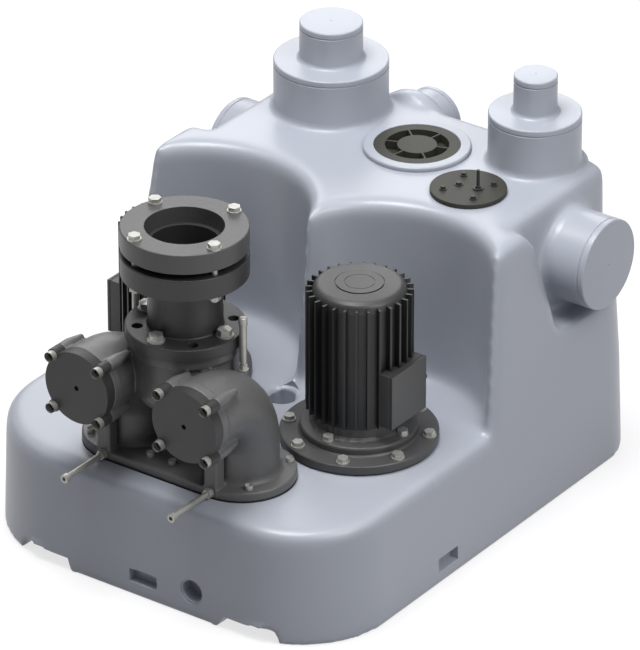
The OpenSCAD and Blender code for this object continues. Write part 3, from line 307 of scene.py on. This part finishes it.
def install(obj, finish, body, *replaced):  # a finished piece takes its material, its body and its nodes' place
    paint(obj.data, finishes[finish])
    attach(obj, body)
    if replaced:
        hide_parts(*replaced)
    return obj


def points(mesh):
    flat = np.empty(len(mesh.vertices) * 3)
    mesh.vertices.foreach_get("co", flat)
    return flat.reshape(-1, 3)


def movePoints(mesh, spots):
    mesh.vertices.foreach_set("co", spots.ravel())
    mesh.update()


def relax(mesh, rounds, hold):  # evens the surface out; hold is how far each point may follow its neighbours
    spots = points(mesh)
    ends = np.empty(len(mesh.edges) * 2, np.int32)
    mesh.edges.foreach_get("vertices", ends)
    a, b = ends.reshape(-1, 2).T
    count = len(spots)
    near = np.maximum(np.bincount(a, minlength=count) + np.bincount(b, minlength=count), 1)
    follow = hold(spots)[:, None]
    for turn in range(rounds):
        total = np.stack([np.bincount(a, spots[b, k], count) + np.bincount(b, spots[a, k], count)
                          for k in range(3)], 1)
        spots = spots + (total / near[:, None] - spots) * follow
    movePoints(mesh, spots)


def carve(obj, tools):  # cuts each closed tool out of the piece
    for tool in tools:
        cut = obj.modifiers.new("cut", "BOOLEAN")
        cut.operation, cut.solver, cut.object = "DIFFERENCE", "MANIFOLD", tool
        bake(obj)
        bpy.data.objects.remove(tool)
    smooth(obj, "carved")


def prism(name, outline, low, high, place):  # an outline in X and Y, drawn out from low to high and placed
    made = bmesh.new()
    rings = [[made.verts.new(place @ Vector((x, y, z))) for x, y in outline] for z in (low, high)]
    for ring in rings:
        made.faces.new(ring)
    for k in range(len(outline)):
        m = (k + 1) % len(outline)
        made.faces.new([rings[0][k], rings[0][m], rings[1][m], rings[1][k]])
    bmesh.ops.recalc_face_normals(made, faces=made.faces)
    return showMesh(name, made)


def softened(name, node, look, hold, after=None):  # the solid as one skin, relaxed and thinned again
    obj = showMesh(name, welded(node))
    skin = obj.modifiers.new("skin", "REMESH")
    skin.mode, skin.voxel_size = "VOXEL", look["voxel"]
    bake(obj)
    relax(obj.data, look["rounds"], hold)
    if after:
        after(obj.data)
    count = len(obj.data.polygons) * 2
    if count > look["triangles"]:
        thin = obj.modifiers.new("thin", "DECIMATE")
        thin.ratio = look["triangles"] / count
        bake(obj)
    smooth(obj)
    report("%s: %d faces before thinning, %d after" % (name, count, len(obj.data.polygons)))
    return obj


def lathe(name, profile, origin, axis, steps):  # (radius, height) pairs from the outside bottom round to the middle
    made = bmesh.new()
    turn = Vector((0, 0, 1)).rotation_difference(Vector(axis)).to_matrix().to_4x4()
    place = Matrix.Translation(origin) @ turn
    rings = []
    for radius, height in profile:
        angles = [2 * math.pi * k / steps for k in range(steps if radius else 1)]
        rings.append([made.verts.new(place @ Vector((radius * math.cos(t), radius * math.sin(t), height)))
                      for t in angles])
    for low, high in zip(rings, rings[1:] + rings[:1]):
        for k in range(steps):
            corners = [low[k % len(low)], low[(k + 1) % len(low)], high[(k + 1) % len(high)], high[k % len(high)]]
            corners = list(dict.fromkeys(corners))
            if len(corners) > 2:
                made.faces.new(corners)
    bmesh.ops.recalc_face_normals(made, faces=made.faces)
    obj = showMesh(name, made)
    smooth(obj, "turned")
    return obj


def arc(centreR, centreZ, radius, fromDeg, toDeg, steps=6):
    angles = [math.radians(fromDeg + (toDeg - fromDeg) * k / steps) for k in range(steps + 1)]
    return [(centreR + radius * math.cos(t), centreZ + radius * math.sin(t)) for t in angles]


def quarter(first=0):  # angles of a quarter round in steps of 15 degrees
    return [math.radians(t) for t in range(first, 91, 15)]


# the tank: the solid's own form with the soft, wide rounds of a rotational moulding
tank = {"voxel": 0.0045, "rounds": 26, "triangles": 190000, "wide": 0.5, "narrow": 0.12, "blend": 0.03,
        "blockSide": 0.33, "blockBack": -0.15, "footTop": 0.10}
# stubs of the spigots on the solid, and how the turned spigots' stubs are tucked in under them
topStubs = {"columns": [((-0.191, 0.3415), 0.100, 0.570), ((0.209, 0.3765), 0.080, 0.570)],
            "collar": 0.012, "below": 0.05, "margin": 0.004, "tuckBelow": 0.030, "riseBelow": 0.035, "rise": 0.02}
sideStubs = {"y": 0.3125, "z": 0.411, "radius": 0.08, "from": 0.345, "blend": 0.01, "held": 0.095, "tucked": 0.084,
             "ends": ((1, 0.406), (-1, 0.382))}
backStub = {"x": -0.089, "z": 0.466, "radius": 0.055, "heldFrom": 0.462, "held": 0.07, "tuckedFrom": 0.465,
            "tucked": 0.059, "capFrom": 0.50}
shrink = 0.0010


def tankHold(spots):
    x, y, z = spots.T
    t, top, side, back = tank, topStubs, sideStubs, backStub
    outerWalls = np.clip((np.abs(x) - t["blockSide"]) / t["blend"], 0, 1) * (y < t["blockBack"])
    slotsAndFeet = np.clip((t["footTop"] - z) / t["blend"], 0, 1)
    masks = [outerWalls, slotsAndFeet]
    for (cx, cy), radius, low in top["columns"]:
        away = np.hypot(x - cx, y - cy)
        masks.append(np.clip(1 - (away - radius - top["collar"]) / top["collar"], 0, 1) * (z > low - top["below"]))
    masks.append(np.clip((np.abs(x) - side["from"]) / side["blend"], 0, 1)
                 * (np.hypot(y - side["y"], z - side["z"]) < side["held"]))
    masks.append((y > back["heldFrom"]) * (np.hypot(x - back["x"], z - back["z"]) < back["held"]))
    follow = np.full(len(spots), t["wide"])
    for mask in masks:
        follow = follow * (1 - mask) + t["narrow"] * mask
    return follow


def tuckSpigots(mesh):  # the turned spigots below cover these stubs, so they sit a little under them
    top, side, back = topStubs, sideStubs, backStub
    spots = points(mesh)
    x, y, z = spots.T  # these stay views of spots

    def pullIn(values, middle, pull, part):
        return np.where(part, middle + (values - middle) * pull, values)

    for (cx, cy), radius, low in top["columns"]:
        away = np.hypot(x - cx, y - cy)
        inside = (away < radius + top["margin"]) & (z > low - top["tuckBelow"])
        rise = np.clip((z - low + top["riseBelow"]) / top["rise"], 0, 1) * inside
        pull = 1 - rise * shrink / np.maximum(away, 0.02)
        spots[:, 0] = pullIn(x, cx, pull, inside)
        spots[:, 1] = pullIn(y, cy, pull, inside)
        spots[:, 2] = z - rise * shrink * 1.5
    for sign, end in side["ends"]:
        part = (x * sign > side["from"]) & (np.hypot(y - side["y"], z - side["z"]) < side["tucked"])
        pull = 1 - shrink / side["radius"]
        spots[:, 1] = pullIn(y, side["y"], pull, part)
        spots[:, 2] = pullIn(z, side["z"], pull, part)
        spots[:, 0] = np.where(part & (x * sign > end - 0.02), x - sign * shrink * 2, x)
    part = (y > back["tuckedFrom"]) & (np.hypot(x - back["x"], z - back["z"]) < back["tucked"])
    pull = 1 - shrink / back["radius"]
    spots[:, 0] = pullIn(x, back["x"], pull, part)
    spots[:, 2] = pullIn(z, back["z"], pull, part)
    spots[:, 1] = np.where(part & (y > back["capFrom"]), y - shrink * 2, y)
    movePoints(mesh, spots)


# slots, drain hole and gaps between the feet: the wall is evened out round them, then they are cut crisp
walls = {"front": -0.4735, "side": 0.3845, "draft": math.tan(math.radians(2.0)), "reach": 0.010, "deep": 0.0045,
         "spare": 0.0008, "corner": 0.30, "out": 0.02}
openings = {"slotWide": 0.027, "slotTall": 0.0115, "slotDeep": 0.016, "slotHigh": 0.036, "frontSlot": 0.010,
            "sideSlot": -0.1215, "drainAt": (0.111, 0.047), "drain": 0.019, "drainDeep": 0.026, "drainLip": 0.0235,
            "lipDeep": 0.0018, "gaps": (-0.194, 0.224), "gapDeep": 0.070, "gapHigh": 0.022,
            "gapLeft": (-0.060, -0.046), "gapRight": (0.054, 0.046)}


def slotAway(across, z, middle):
    o = openings
    return np.maximum(np.abs(across - middle) - o["slotWide"], np.abs(z - o["slotHigh"]) - o["slotTall"])


def gapAway(x, z, middle):
    o = openings
    share = np.clip(z / o["gapHigh"], 0, 1)
    left = o["gapLeft"][0] + (o["gapLeft"][1] - o["gapLeft"][0]) * share
    right = o["gapRight"][0] + (o["gapRight"][1] - o["gapRight"][0]) * share
    return np.maximum(np.maximum(left - (x - middle), (x - middle) - right), z - o["gapHigh"])


def evenWalls(mesh):
    w, o = walls, openings
    spots = points(mesh)
    x, y, z = spots.T.copy()
    lean = z * w["draft"]
    away = [slotAway(x, z, o["frontSlot"]), np.hypot(x - o["drainAt"][0], z - o["drainAt"][1]) - o["drain"]]
    away += [gapAway(x, z, middle) for middle in o["gaps"]]
    near = np.minimum.reduce(away)
    depth = y - w["front"] - lean
    beside = (near > -w["spare"]) & (near < w["reach"]) & (depth < w["deep"]) & (np.abs(x) < w["corner"])
    spots[:, 1] = np.where(beside, w["front"] + lean, spots[:, 1])
    across = slotAway(y, z, o["sideSlot"])
    for sign in (1, -1):
        depth = w["side"] - lean - x * sign
        beside = (across > -w["spare"]) & (across < w["reach"]) & (depth < w["deep"])
        spots[:, 0] = np.where(beside, sign * (w["side"] - lean), spots[:, 0])
    movePoints(mesh, spots)


def wallTools():
    w, o = walls, openings
    spare, front, side = w["spare"], -w["front"], w["side"]
    wide, tall = o["slotWide"] + spare, o["slotTall"] + spare
    slot = [(-wide, -tall), (wide, -tall), (wide, tall), (-wide, tall)]
    lean = o["slotHigh"] * w["draft"]

    def facing(turn, along, z):  # local Z runs out of the wall, local X along it, local Y up
        aside = Matrix.Rotation(math.radians(turn), 4, "Z")
        return Matrix.Translation(aside @ Vector((along, 0, z))) @ (aside @ Matrix.Rotation(math.radians(90), 4, "X"))

    tools = []
    for name, wall, turn, along in (("cutFront", front, 0, o["frontSlot"]), ("cutRight", side, 90, o["sideSlot"]),
                                    ("cutLeft", side, -90, -o["sideSlot"])):
        tools.append(prism(name, slot, wall - lean - o["slotDeep"], wall + w["out"],
                           facing(turn, along, o["slotHigh"])))
    for name, radius, deep in (("cutDrain", o["drain"] + spare, o["drainDeep"]),
                               ("cutLip", o["drainLip"], o["lipDeep"])):
        ring = [(radius * math.cos(k * math.pi / 32), radius * math.sin(k * math.pi / 32)) for k in range(64)]
        tools.append(prism(name, ring, front - o["drainAt"][1] * w["draft"] - deep, front + w["out"],
                           facing(0, *o["drainAt"])))
    (leftLow, leftTop), (rightLow, rightTop) = o["gapLeft"], o["gapRight"]
    shape = [(leftLow - spare, -0.001), (rightLow + spare, -0.001),
             (rightTop + spare, o["gapHigh"] + spare), (leftTop - spare, o["gapHigh"] + spare)]
    for k, middle in enumerate(o["gaps"]):
        tools.append(prism("cutGap%d" % k, shape, front - o["gapDeep"], front + w["out"], facing(0, middle, 0)))
    return tools


# the moulded dimple; the tool goes on above it, so the foot of the ridge ends behind its lip
dimple = {"at": (0.006, -0.0735), "radius": 0.0226, "lip": 0.007, "deck": 0.2062, "over": 0.0004, "floor": 0.170,
          "mouth": 0.031, "top": 0.262}


def dimpleTool():
    d = dimple
    lipLow = d["deck"] - d["lip"]
    lip = [(d["radius"] + d["lip"] * (1 - math.cos(t)), lipLow + d["lip"] * math.sin(t)) for t in quarter()]
    profile = [(d["radius"], d["floor"])] + lip
    profile += [(d["mouth"], d["deck"] + d["over"]), (d["mouth"], d["top"]), (0, d["top"]), (0, d["floor"])]
    return lathe("cutDimple", profile, (*d["at"], 0), (0, 0, 1), 64)


def finishTank(mesh):
    evenWalls(mesh)
    tuckSpigots(mesh)


tankSkin = softened("tankSkin", "tank", tank, tankHold, finishTank)
carve(tankSkin, wallTools() + [dimpleTool()])
report("tank cut: %d faces" % len(tankSkin.data.polygons))
install(tankSkin, "tank", "unit", "tank")

# turned spigots with their saw groove, rounded rim and centre mark
spigots = {"rim": 0.0028, "grooveFromEnd": 0.010, "grooveWidth": 0.0022, "grooveDepth": 0.0014, "chamfer": 0.0004,
           "stepRound": 0.008, "flare": 0.010, "sunk": 0.004, "wall": 0.005,
           "mark": 0.0016, "markDeep": 0.0011, "markSide": 0.0009}


def spigotTop(radius, top, inner):  # rim and groove, ending on the flat top at the inner radius
    s = spigots
    low, high = top - s["grooveFromEnd"] - s["grooveWidth"], top - s["grooveFromEnd"]
    deep, c = s["grooveDepth"], s["chamfer"]
    groove = [(radius, low - c), (radius - c, low), (radius - deep, low + c),
              (radius - deep, high - c), (radius - c, high), (radius, high + c)]
    return groove + arc(radius - s["rim"], top - s["rim"], s["rim"], 0, 90) + [(inner, top)]


def centreMark(top):  # from the flat top into the mark, then down the axis to the inside
    s = spigots
    return [(s["mark"] * 0.8, top - s["markSide"]), (0, top - s["markDeep"]), (0, top - s["wall"])]


def steppedSpigot(name, at, wide, narrow, base, step, top):
    s = spigots
    flare, bend, wall = s["flare"], s["stepRound"], s["wall"]
    profile = [(wide + flare + 0.002, base - 0.0006)]
    profile += [(wide + flare - flare * math.sin(t), base + flare * (1 - math.cos(t))) for t in quarter()]
    profile += spigotTop(wide, step, narrow + bend)
    profile += [(narrow + bend * (1 - math.sin(t)), step + bend * (1 - math.cos(t))) for t in quarter(15)]
    profile += spigotTop(narrow, top, s["mark"]) + centreMark(top)
    profile += [(narrow - wall, top - wall), (narrow - wall, step - wall), (wide - wall, step - wall),
                (wide - wall, base - s["sunk"]), (wide + flare, base - s["sunk"])]
    return lathe(name, profile, (at[0], at[1], 0), (0, 0, 1), 128)


def plainSpigot(name, radius, origin, axis, low, high):
    s = spigots
    profile = [(radius, low)] + spigotTop(radius, high, s["mark"]) + centreMark(high)
    profile += [(radius - s["wall"], high - s["wall"]), (radius - s["wall"], low)]
    return lathe(name, profile, origin, axis, 112)


spigotPieces = [
    steppedSpigot("inletBig", (-0.191, 0.3415), 0.100, 0.055, 0.524, 0.618, 0.687),
    steppedSpigot("inletMid", (0.209, 0.3765), 0.080, 0.0375, 0.524, 0.618, 0.687),
    plainSpigot("inletSideRight", 0.080, (0, 0.3125, 0.411), (1, 0, 0), 0.330, 0.406),
    plainSpigot("inletSideLeft", 0.080, (0, 0.3125, 0.411), (-1, 0, 0), 0.318, 0.382),
    plainSpigot("inletBack", 0.055, (-0.089, 0, 0.466), (0, 1, 0), 0.456, 0.5115)]
for piece in spigotPieces:
    install(piece, "tank", "unit")
report("tank and spigots")

# the valve casting, with the blended corners of a sand casting
valve = {"voxel": 0.0017, "rounds": 12, "triangles": 180000, "follow": 0.5, "crisp": 0.12, "plateTop": 0.226,
         "flangeLow": 0.413, "seat": -0.466, "blend": 0.003}


def valveHold(spots):  # the foot plate, the outlet flange and the cover seats are machined, so they keep their edges
    x, y, z = spots.T
    v = valve
    machined = np.maximum.reduce([v["plateTop"] - z, z - v["flangeLow"], v["seat"] - y])
    share = np.clip(machined / v["blend"] + 1, 0, 1)
    return v["follow"] * (1 - share) + v["crisp"] * share


valveCasting = softened("valveCasting", "valve_housing", valve, valveHold)
# the valve casting takes the lighter coat with painted light
install(valveCasting, "valve", "unit", "valve_housing")
report("valve casting")

# machined and moulded pieces keep the solid's form and get the small rounds that catch the light
crisp = {
    "clamp_ring": 0.0012, "outlet_neck": 0.0012, "valve_cover_left": 0.0009, "valve_cover_right": 0.0009,
    "cover_gaskets": 0.0003, "terminal_box_left": 0.0015, "terminal_box_right": 0.0015, "terminal_lids": 0.0015,
    "pump_cover_left": 0.0012, "pump_cover_right": 0.0012, "lid_ring": 0.0012, "lid_plug": 0.0008,
    "sensor_plate": 0.0012}
flatWithin, crispFrom = 0.8, 38  # degrees


def crispCopy(node, width):
    obj = showMesh(node + "Fine", welded(node))
    flat = bmesh.new()
    flat.from_mesh(obj.data)
    bmesh.ops.dissolve_limit(flat, angle_limit=math.radians(flatWithin), verts=flat.verts, edges=flat.edges)
    flat.to_mesh(obj.data)
    flat.free()
    smooth(obj)
    roundEdges(obj, width, crispFrom)
    smooth(obj, "fine")
    even = obj.modifiers.new("even", "WEIGHTED_NORMAL")
    even.keep_sharp = True
    bake(obj)
    return install(obj, finishByNode[node], nodes[node]["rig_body"], node)


for node, width in crisp.items():
    crispCopy(node, width)
report("fine edges")


# screws: one geometry tree builds the head, washer, key socket and shank, and sets one on every seat
def screwTree():
    tree = bpy.data.node_groups.new("screwRow", "GeometryNodeTree")
    face = tree.interface
    face.new_socket("Geometry", in_out="INPUT", socket_type="NodeSocketGeometry")
    kinds = {"Head Radius": "Float", "Head Height": "Float", "Head Sides": "Int", "Chamfer": "Float",
             "Washer Radius": "Float", "Washer Height": "Float", "Shank Radius": "Float", "Shank Length": "Float",
             "Key Radius": "Float", "Key Depth": "Float", "Seed": "Int", "Finish": "Material"}
    for label, kind in kinds.items():
        face.new_socket(label, in_out="INPUT", socket_type="NodeSocket" + kind)
    face.new_socket("Geometry", in_out="OUTPUT", socket_type="NodeSocketGeometry")

    def add(kind, settings=None, values=None):
        made = tree.nodes.new(kind)
        for key, value in (settings or {}).items():
            setattr(made, key, value)
        for key, value in (values or {}).items():
            if isinstance(value, bpy.types.NodeSocket):
                tree.links.new(value, made.inputs[key])
            else:
                made.inputs[key].default_value = value
        return made

    given = add("NodeGroupInput").outputs

    def maths(operation, a, b):
        return add("ShaderNodeMath", {"operation": operation}, {0: a, 1: b}).outputs[0]

    def lifted(shape, height):
        where = add("ShaderNodeCombineXYZ", None, {"Z": height}).outputs[0]
        return add("GeometryNodeTransform", None, {"Geometry": shape, "Translation": where}).outputs[0]

    def rod(sides, radius, depth, middle):
        values = {"Vertices": sides, "Radius": radius, "Depth": depth}
        return lifted(add("GeometryNodeMeshCylinder", None, values).outputs["Mesh"], middle)

    headRadius, headHeight, seat = given["Head Radius"], given["Head Height"], given["Washer Height"]
    headTop = maths("ADD", seat, headHeight)
    head = rod(given["Head Sides"], headRadius, headHeight, maths("ADD", seat, maths("MULTIPLY", headHeight, 0.5)))
    crownDepth = maths("MULTIPLY", maths("ADD", headHeight, given["Chamfer"]), 0.6)
    crown = add("GeometryNodeMeshCone", None, {
        "Vertices": 48, "Radius Top": maths("SUBTRACT", headRadius, given["Chamfer"]),
        "Radius Bottom": maths("ADD", headRadius, headHeight), "Depth": crownDepth}).outputs["Mesh"]
    dome = add("GeometryNodeMeshBoolean", {"operation": "UNION"},
               {"Mesh 2": lifted(crown, maths("SUBTRACT", headTop, crownDepth))})
    crownLow = rod(48, maths("MULTIPLY", headRadius, 1.5), headHeight, seat)
    tree.links.new(crownLow, dome.inputs["Mesh 2"])
    capped = add("GeometryNodeMeshBoolean", {"operation": "INTERSECT"}, {"Mesh 2": head})
    tree.links.new(dome.outputs["Mesh"], capped.inputs["Mesh 2"])
    key = rod(6, given["Key Radius"], maths("MULTIPLY", given["Key Depth"], 2.0), headTop)
    cutHead = add("GeometryNodeMeshBoolean", {"operation": "DIFFERENCE"},
                  {"Mesh 1": capped.outputs["Mesh"], "Mesh 2": key}).outputs["Mesh"]
    washer = rod(40, given["Washer Radius"], seat, maths("MULTIPLY", seat, 0.5))
    shank = rod(24, given["Shank Radius"], given["Shank Length"], maths("MULTIPLY", given["Shank Length"], -0.5))
    whole = add("GeometryNodeJoinGeometry", None, {"Geometry": shank})
    tree.links.new(washer, whole.inputs["Geometry"])
    tree.links.new(cutHead, whole.inputs["Geometry"])
    axis = add("GeometryNodeInputNamedAttribute", {"data_type": "FLOAT_VECTOR"}, {"Name": "axis"})
    aim = add("FunctionNodeAlignRotationToVector", {"axis": "Z"}, {"Vector": axis.outputs["Attribute"]}).outputs[0]
    spin = add("FunctionNodeRandomValue", {"data_type": "FLOAT"},
               {2: 0.0, 3: 6.2832, "Seed": given["Seed"]}).outputs[1]
    twist = add("FunctionNodeAxisAngleToRotation", None, {"Axis": (0, 0, 1), "Angle": spin}).outputs[0]
    turned = add("FunctionNodeRotateRotation", {"rotation_space": "LOCAL"}, {0: aim, 1: twist}).outputs[0]
    rows = add("GeometryNodeInstanceOnPoints", None,
               {"Points": given["Geometry"], "Instance": whole.outputs[0], "Rotation": turned}).outputs[0]
    solid = add("GeometryNodeRealizeInstances", None, {"Geometry": rows}).outputs[0]
    done = add("GeometryNodeSetMaterial", None, {"Geometry": solid, "Material": given["Finish"]}).outputs[0]
    add("NodeGroupOutput", None, {"Geometry": done})
    return tree


screwRow = screwTree()
plainScrew = {"Head Sides": 6, "Chamfer": 0.0012, "Washer Radius": 0.004, "Washer Height": 0.0004,
              "Key Radius": 0.0, "Key Depth": 0.0001}
screwEdge, screwEdgeFrom = 0.0005, 35  # metres, degrees


def islands(node):  # lowest and highest corner of each separate solid of a node
    source = welded(node)
    left, found = set(source.verts), []
    while left:
        group, edge = set(), [next(iter(left))]
        while edge:
            v = edge.pop()
            if v in group:
                continue
            group.add(v)
            edge += [e.other_vert(v) for e in v.link_edges]
        left -= group
        spots = np.array([v.co for v in group])
        found.append((spots.min(0), spots.max(0)))
    source.free()
    return sorted(found, key=lambda pair: tuple(np.round(pair[0], 4)))


def screws(node, axis, size, seed, finish="steel"):
    values = dict(plainScrew, **size, Seed=seed, Finish=finishes[finish])
    axis = Vector(axis)
    seats = []
    for low, high in islands(node):
        middle = Vector((low + high) / 2)
        top = Vector(high) if sum(axis) > 0 else Vector(low)
        end = middle + axis * (top - middle).dot(axis)
        seats.append(end - axis * (values["Head Height"] + values["Washer Height"]))
    mesh = bpy.data.meshes.new(node + "Seats")
    mesh.from_pydata(seats, [], [])
    way = mesh.attributes.new("axis", "FLOAT_VECTOR", "POINT")
    way.data.foreach_set("vector", [c for seat in seats for c in axis])
    obj = show(node + "Fine", mesh)
    row = obj.modifiers.new("row", "NODES")
    row.node_group = screwRow
    for item in screwRow.interface.items_tree:
        if item.in_out == "INPUT" and item.name in values:
            row[item.identifier] = values[item.name]
    bake(obj)
    roundEdges(obj, screwEdge, screwEdgeFrom)
    smooth(obj, "screws")
    return install(obj, finish, nodes[node]["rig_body"], node)


hexMid = {"Head Radius": 0.0098, "Head Height": 0.007, "Washer Height": 0.0025}
pumpBolt = dict(hexMid, **{"Washer Radius": 0.0115, "Shank Radius": 0.005, "Shank Length": 0.0205})
motorBolt = dict(hexMid, **{"Washer Radius": 0.0099, "Shank Radius": 0.0049, "Shank Length": 0.018})
outletBolt = {"Head Radius": 0.0128, "Head Height": 0.010, "Chamfer": 0.0008, "Washer Radius": 0.015,
              "Washer Height": 0.0025, "Shank Radius": 0.008, "Shank Length": 0.041}
coverScrew = {"Head Radius": 0.009, "Head Height": 0.012, "Head Sides": 40, "Chamfer": 0.0010,
              "Washer Height": 0.0002, "Shank Radius": 0.005, "Shank Length": 0.041,
              "Key Radius": 0.0046, "Key Depth": 0.005}
baseScrew = {"Head Radius": 0.0065, "Head Height": 0.008, "Head Sides": 36, "Chamfer": 0.0004,
             "Washer Height": 0.0002, "Shank Radius": 0.004, "Shank Length": 0.022,
             "Key Radius": 0.0036, "Key Depth": 0.005}
screws("pump_cover_bolts", (0, 0, 1), pumpBolt, 3)
screws("motor_bolts", (0, 0, 1), motorBolt, 5)
screws("outlet_bolts", (0, 0, 1), outletBolt, 8)
screws("cover_screws", (0, -1, 0), coverScrew, 11)
# these take the lighter stainless with a painted highlight
screws("valve_base_screws", (0, 0, 1), baseScrew, 14, "bright")

# bleed screws: a stout rod under a domed head, thinner where it runs in its nut and seat
bleed = {"aside": 0.110, "middle": 0.006, "back": -0.3315, "low": 0.392, "seat": 0.418, "shoulder": 0.001,
         "thin": 0.0042, "rod": 0.0063, "head": 0.0075, "headLow": 0.4895, "top": 0.502, "round": 0.003}
for side, sign in (("left", -1), ("right", 1)):
    b = bleed
    profile = [(b["thin"], b["low"]), (b["thin"], b["seat"]), (b["rod"], b["seat"] + b["shoulder"]),
               (b["rod"], b["headLow"] - b["shoulder"]), (b["head"], b["headLow"])]
    profile += arc(b["head"] - b["round"], b["top"] - b["round"], b["round"], 0, 90) + [(0, b["top"]), (0, b["low"])]
    place = (b["middle"] + sign * b["aside"], b["back"], 0)
    rod = lathe("bleedScrew" + side.title(), profile, place, (0, 0, 1), 40)
    install(rod, "steel", nodes["vent_screw_" + side]["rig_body"], "vent_screw_" + side)
report("screws")


# camera, floor and light; focal and frame are in pixels of the photograph
view = {"target": (0.2780871, -0.3415, 0.5438081), "azimuth": 35.8183, "elevation": 28.5741, "away": 10.4332767,
        "focal": 6468.6316, "frame": 650, "sensor": 36, "clip": (0.5, 60)}
a, e = math.radians(view["azimuth"]), math.radians(view["elevation"])
back = Vector((math.sin(a) * math.cos(e), -math.cos(a) * math.cos(e), math.sin(e)))
right = Vector((math.cos(a), math.sin(a), 0))
lens = bpy.data.cameras.new("photoCamera")
lens.sensor_width, lens.lens = view["sensor"], view["focal"] * view["sensor"] / view["frame"]
lens.clip_start, lens.clip_end = view["clip"]
camera = show("photoCamera", lens)
stand = Matrix.Translation(Vector(view["target"]) + back * view["away"])
camera.matrix_world = stand @ Matrix((right, back.cross(right), back)).transposed().to_4x4()
bpy.context.scene.camera = camera

# the floor looks pale to the camera and in reflections, but throws no light of its own onto the part
paleFloor = {"half": 30, "colour": (0.28, 0.28, 0.29), "rough": 0.9, "glow": 0.72}
half = paleFloor["half"]
floorMesh = bpy.data.meshes.new("floor")
floorMesh.from_pydata([(-half, -half, 0), (half, -half, 0), (half, half, 0), (-half, half, 0)], [], [(0, 1, 2, 3)])
floor = show("floor", floorMesh)
f = Finish("paleFloor")
diffuse = f.node("ShaderNodeBsdfPrincipled", None,
                 {"Base Color": paleFloor["colour"], "Roughness": paleFloor["rough"], "Specular IOR Level": 0.0})
glow = f.node("ShaderNodeEmission", None, {"Color": (1, 1, 1), "Strength": paleFloor["glow"]})
black = f.node("ShaderNodeEmission", None, {"Color": (0, 0, 0), "Strength": 0.0})
mirrored = f.node("ShaderNodeLightPath", output="Is Glossy Ray")
seen = f.node("ShaderNodeLightPath", output="Is Camera Ray").atLeast(mirrored)
extra = f.node("ShaderNodeMixShader", None, {0: seen, 1: black, 2: glow})
f.close("ShaderNodeOutputMaterial", f.node("ShaderNodeAddShader", None, {0: diffuse, 1: extra}))
paint(floorMesh, f.material)

lamps = {
    "overhead": {"at": (-0.3, -0.5, 3.9), "size": (1.7, 1.5), "power": 119},
    "key": {"at": (2.6, -0.3, 2.9), "size": (1.5, 1.5), "power": 48},
    "backSoft": {"at": (-2.6, 3.4, 2.5), "size": (2.8, 2.2), "power": 60},
    "rightSoft": {"at": (3.8, -0.9, 1.1), "size": (1.6, 1.6), "power": 16}}
lampAim = Vector((0.0, 0.0, 0.3))
for name, lamp in lamps.items():
    light = bpy.data.lights.new(name, "AREA")
    light.shape, light.energy = "RECTANGLE", lamp["power"]
    light.size, light.size_y = lamp["size"]
    obj = show(name, light)
    obj.location = lamp["at"]
    obj.rotation_euler = (lampAim - Vector(lamp["at"])).to_track_quat("-Z", "Y").to_euler()

# a soft room that is dark below and light above, and plain white to the camera
skyStops = [(0.0, (0.03, 0.03, 0.0306)), (0.5, (0.04, 0.04, 0.0408)), (0.8, (0.14, 0.14, 0.1428)), (1.0, (1, 1, 1))]
sky = bpy.data.worlds.new("softRoom")
bpy.context.scene.world = sky
room = Graph(sky)
way = room.node("ShaderNodeTexCoord", output="Generated")
height = room.node("ShaderNodeSeparateXYZ", None, {0: way}, output="Z")
shade = room.node("ShaderNodeValToRGB", {"stops": skyStops}, {0: height * 0.5 + 0.5})
toCamera = room.node("ShaderNodeLightPath", output="Is Camera Ray")
tone = room.node("ShaderNodeMix", {"data_type": "RGBA"}, {0: toCamera, 6: shade, 7: (1, 1, 1)}, output=2)
room.close("ShaderNodeOutputWorld", room.node("ShaderNodeBackground", None, {0: tone}))

bpy.context.scene.view_settings.view_transform = "Standard"
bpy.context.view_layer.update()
report("camera, floor and light")
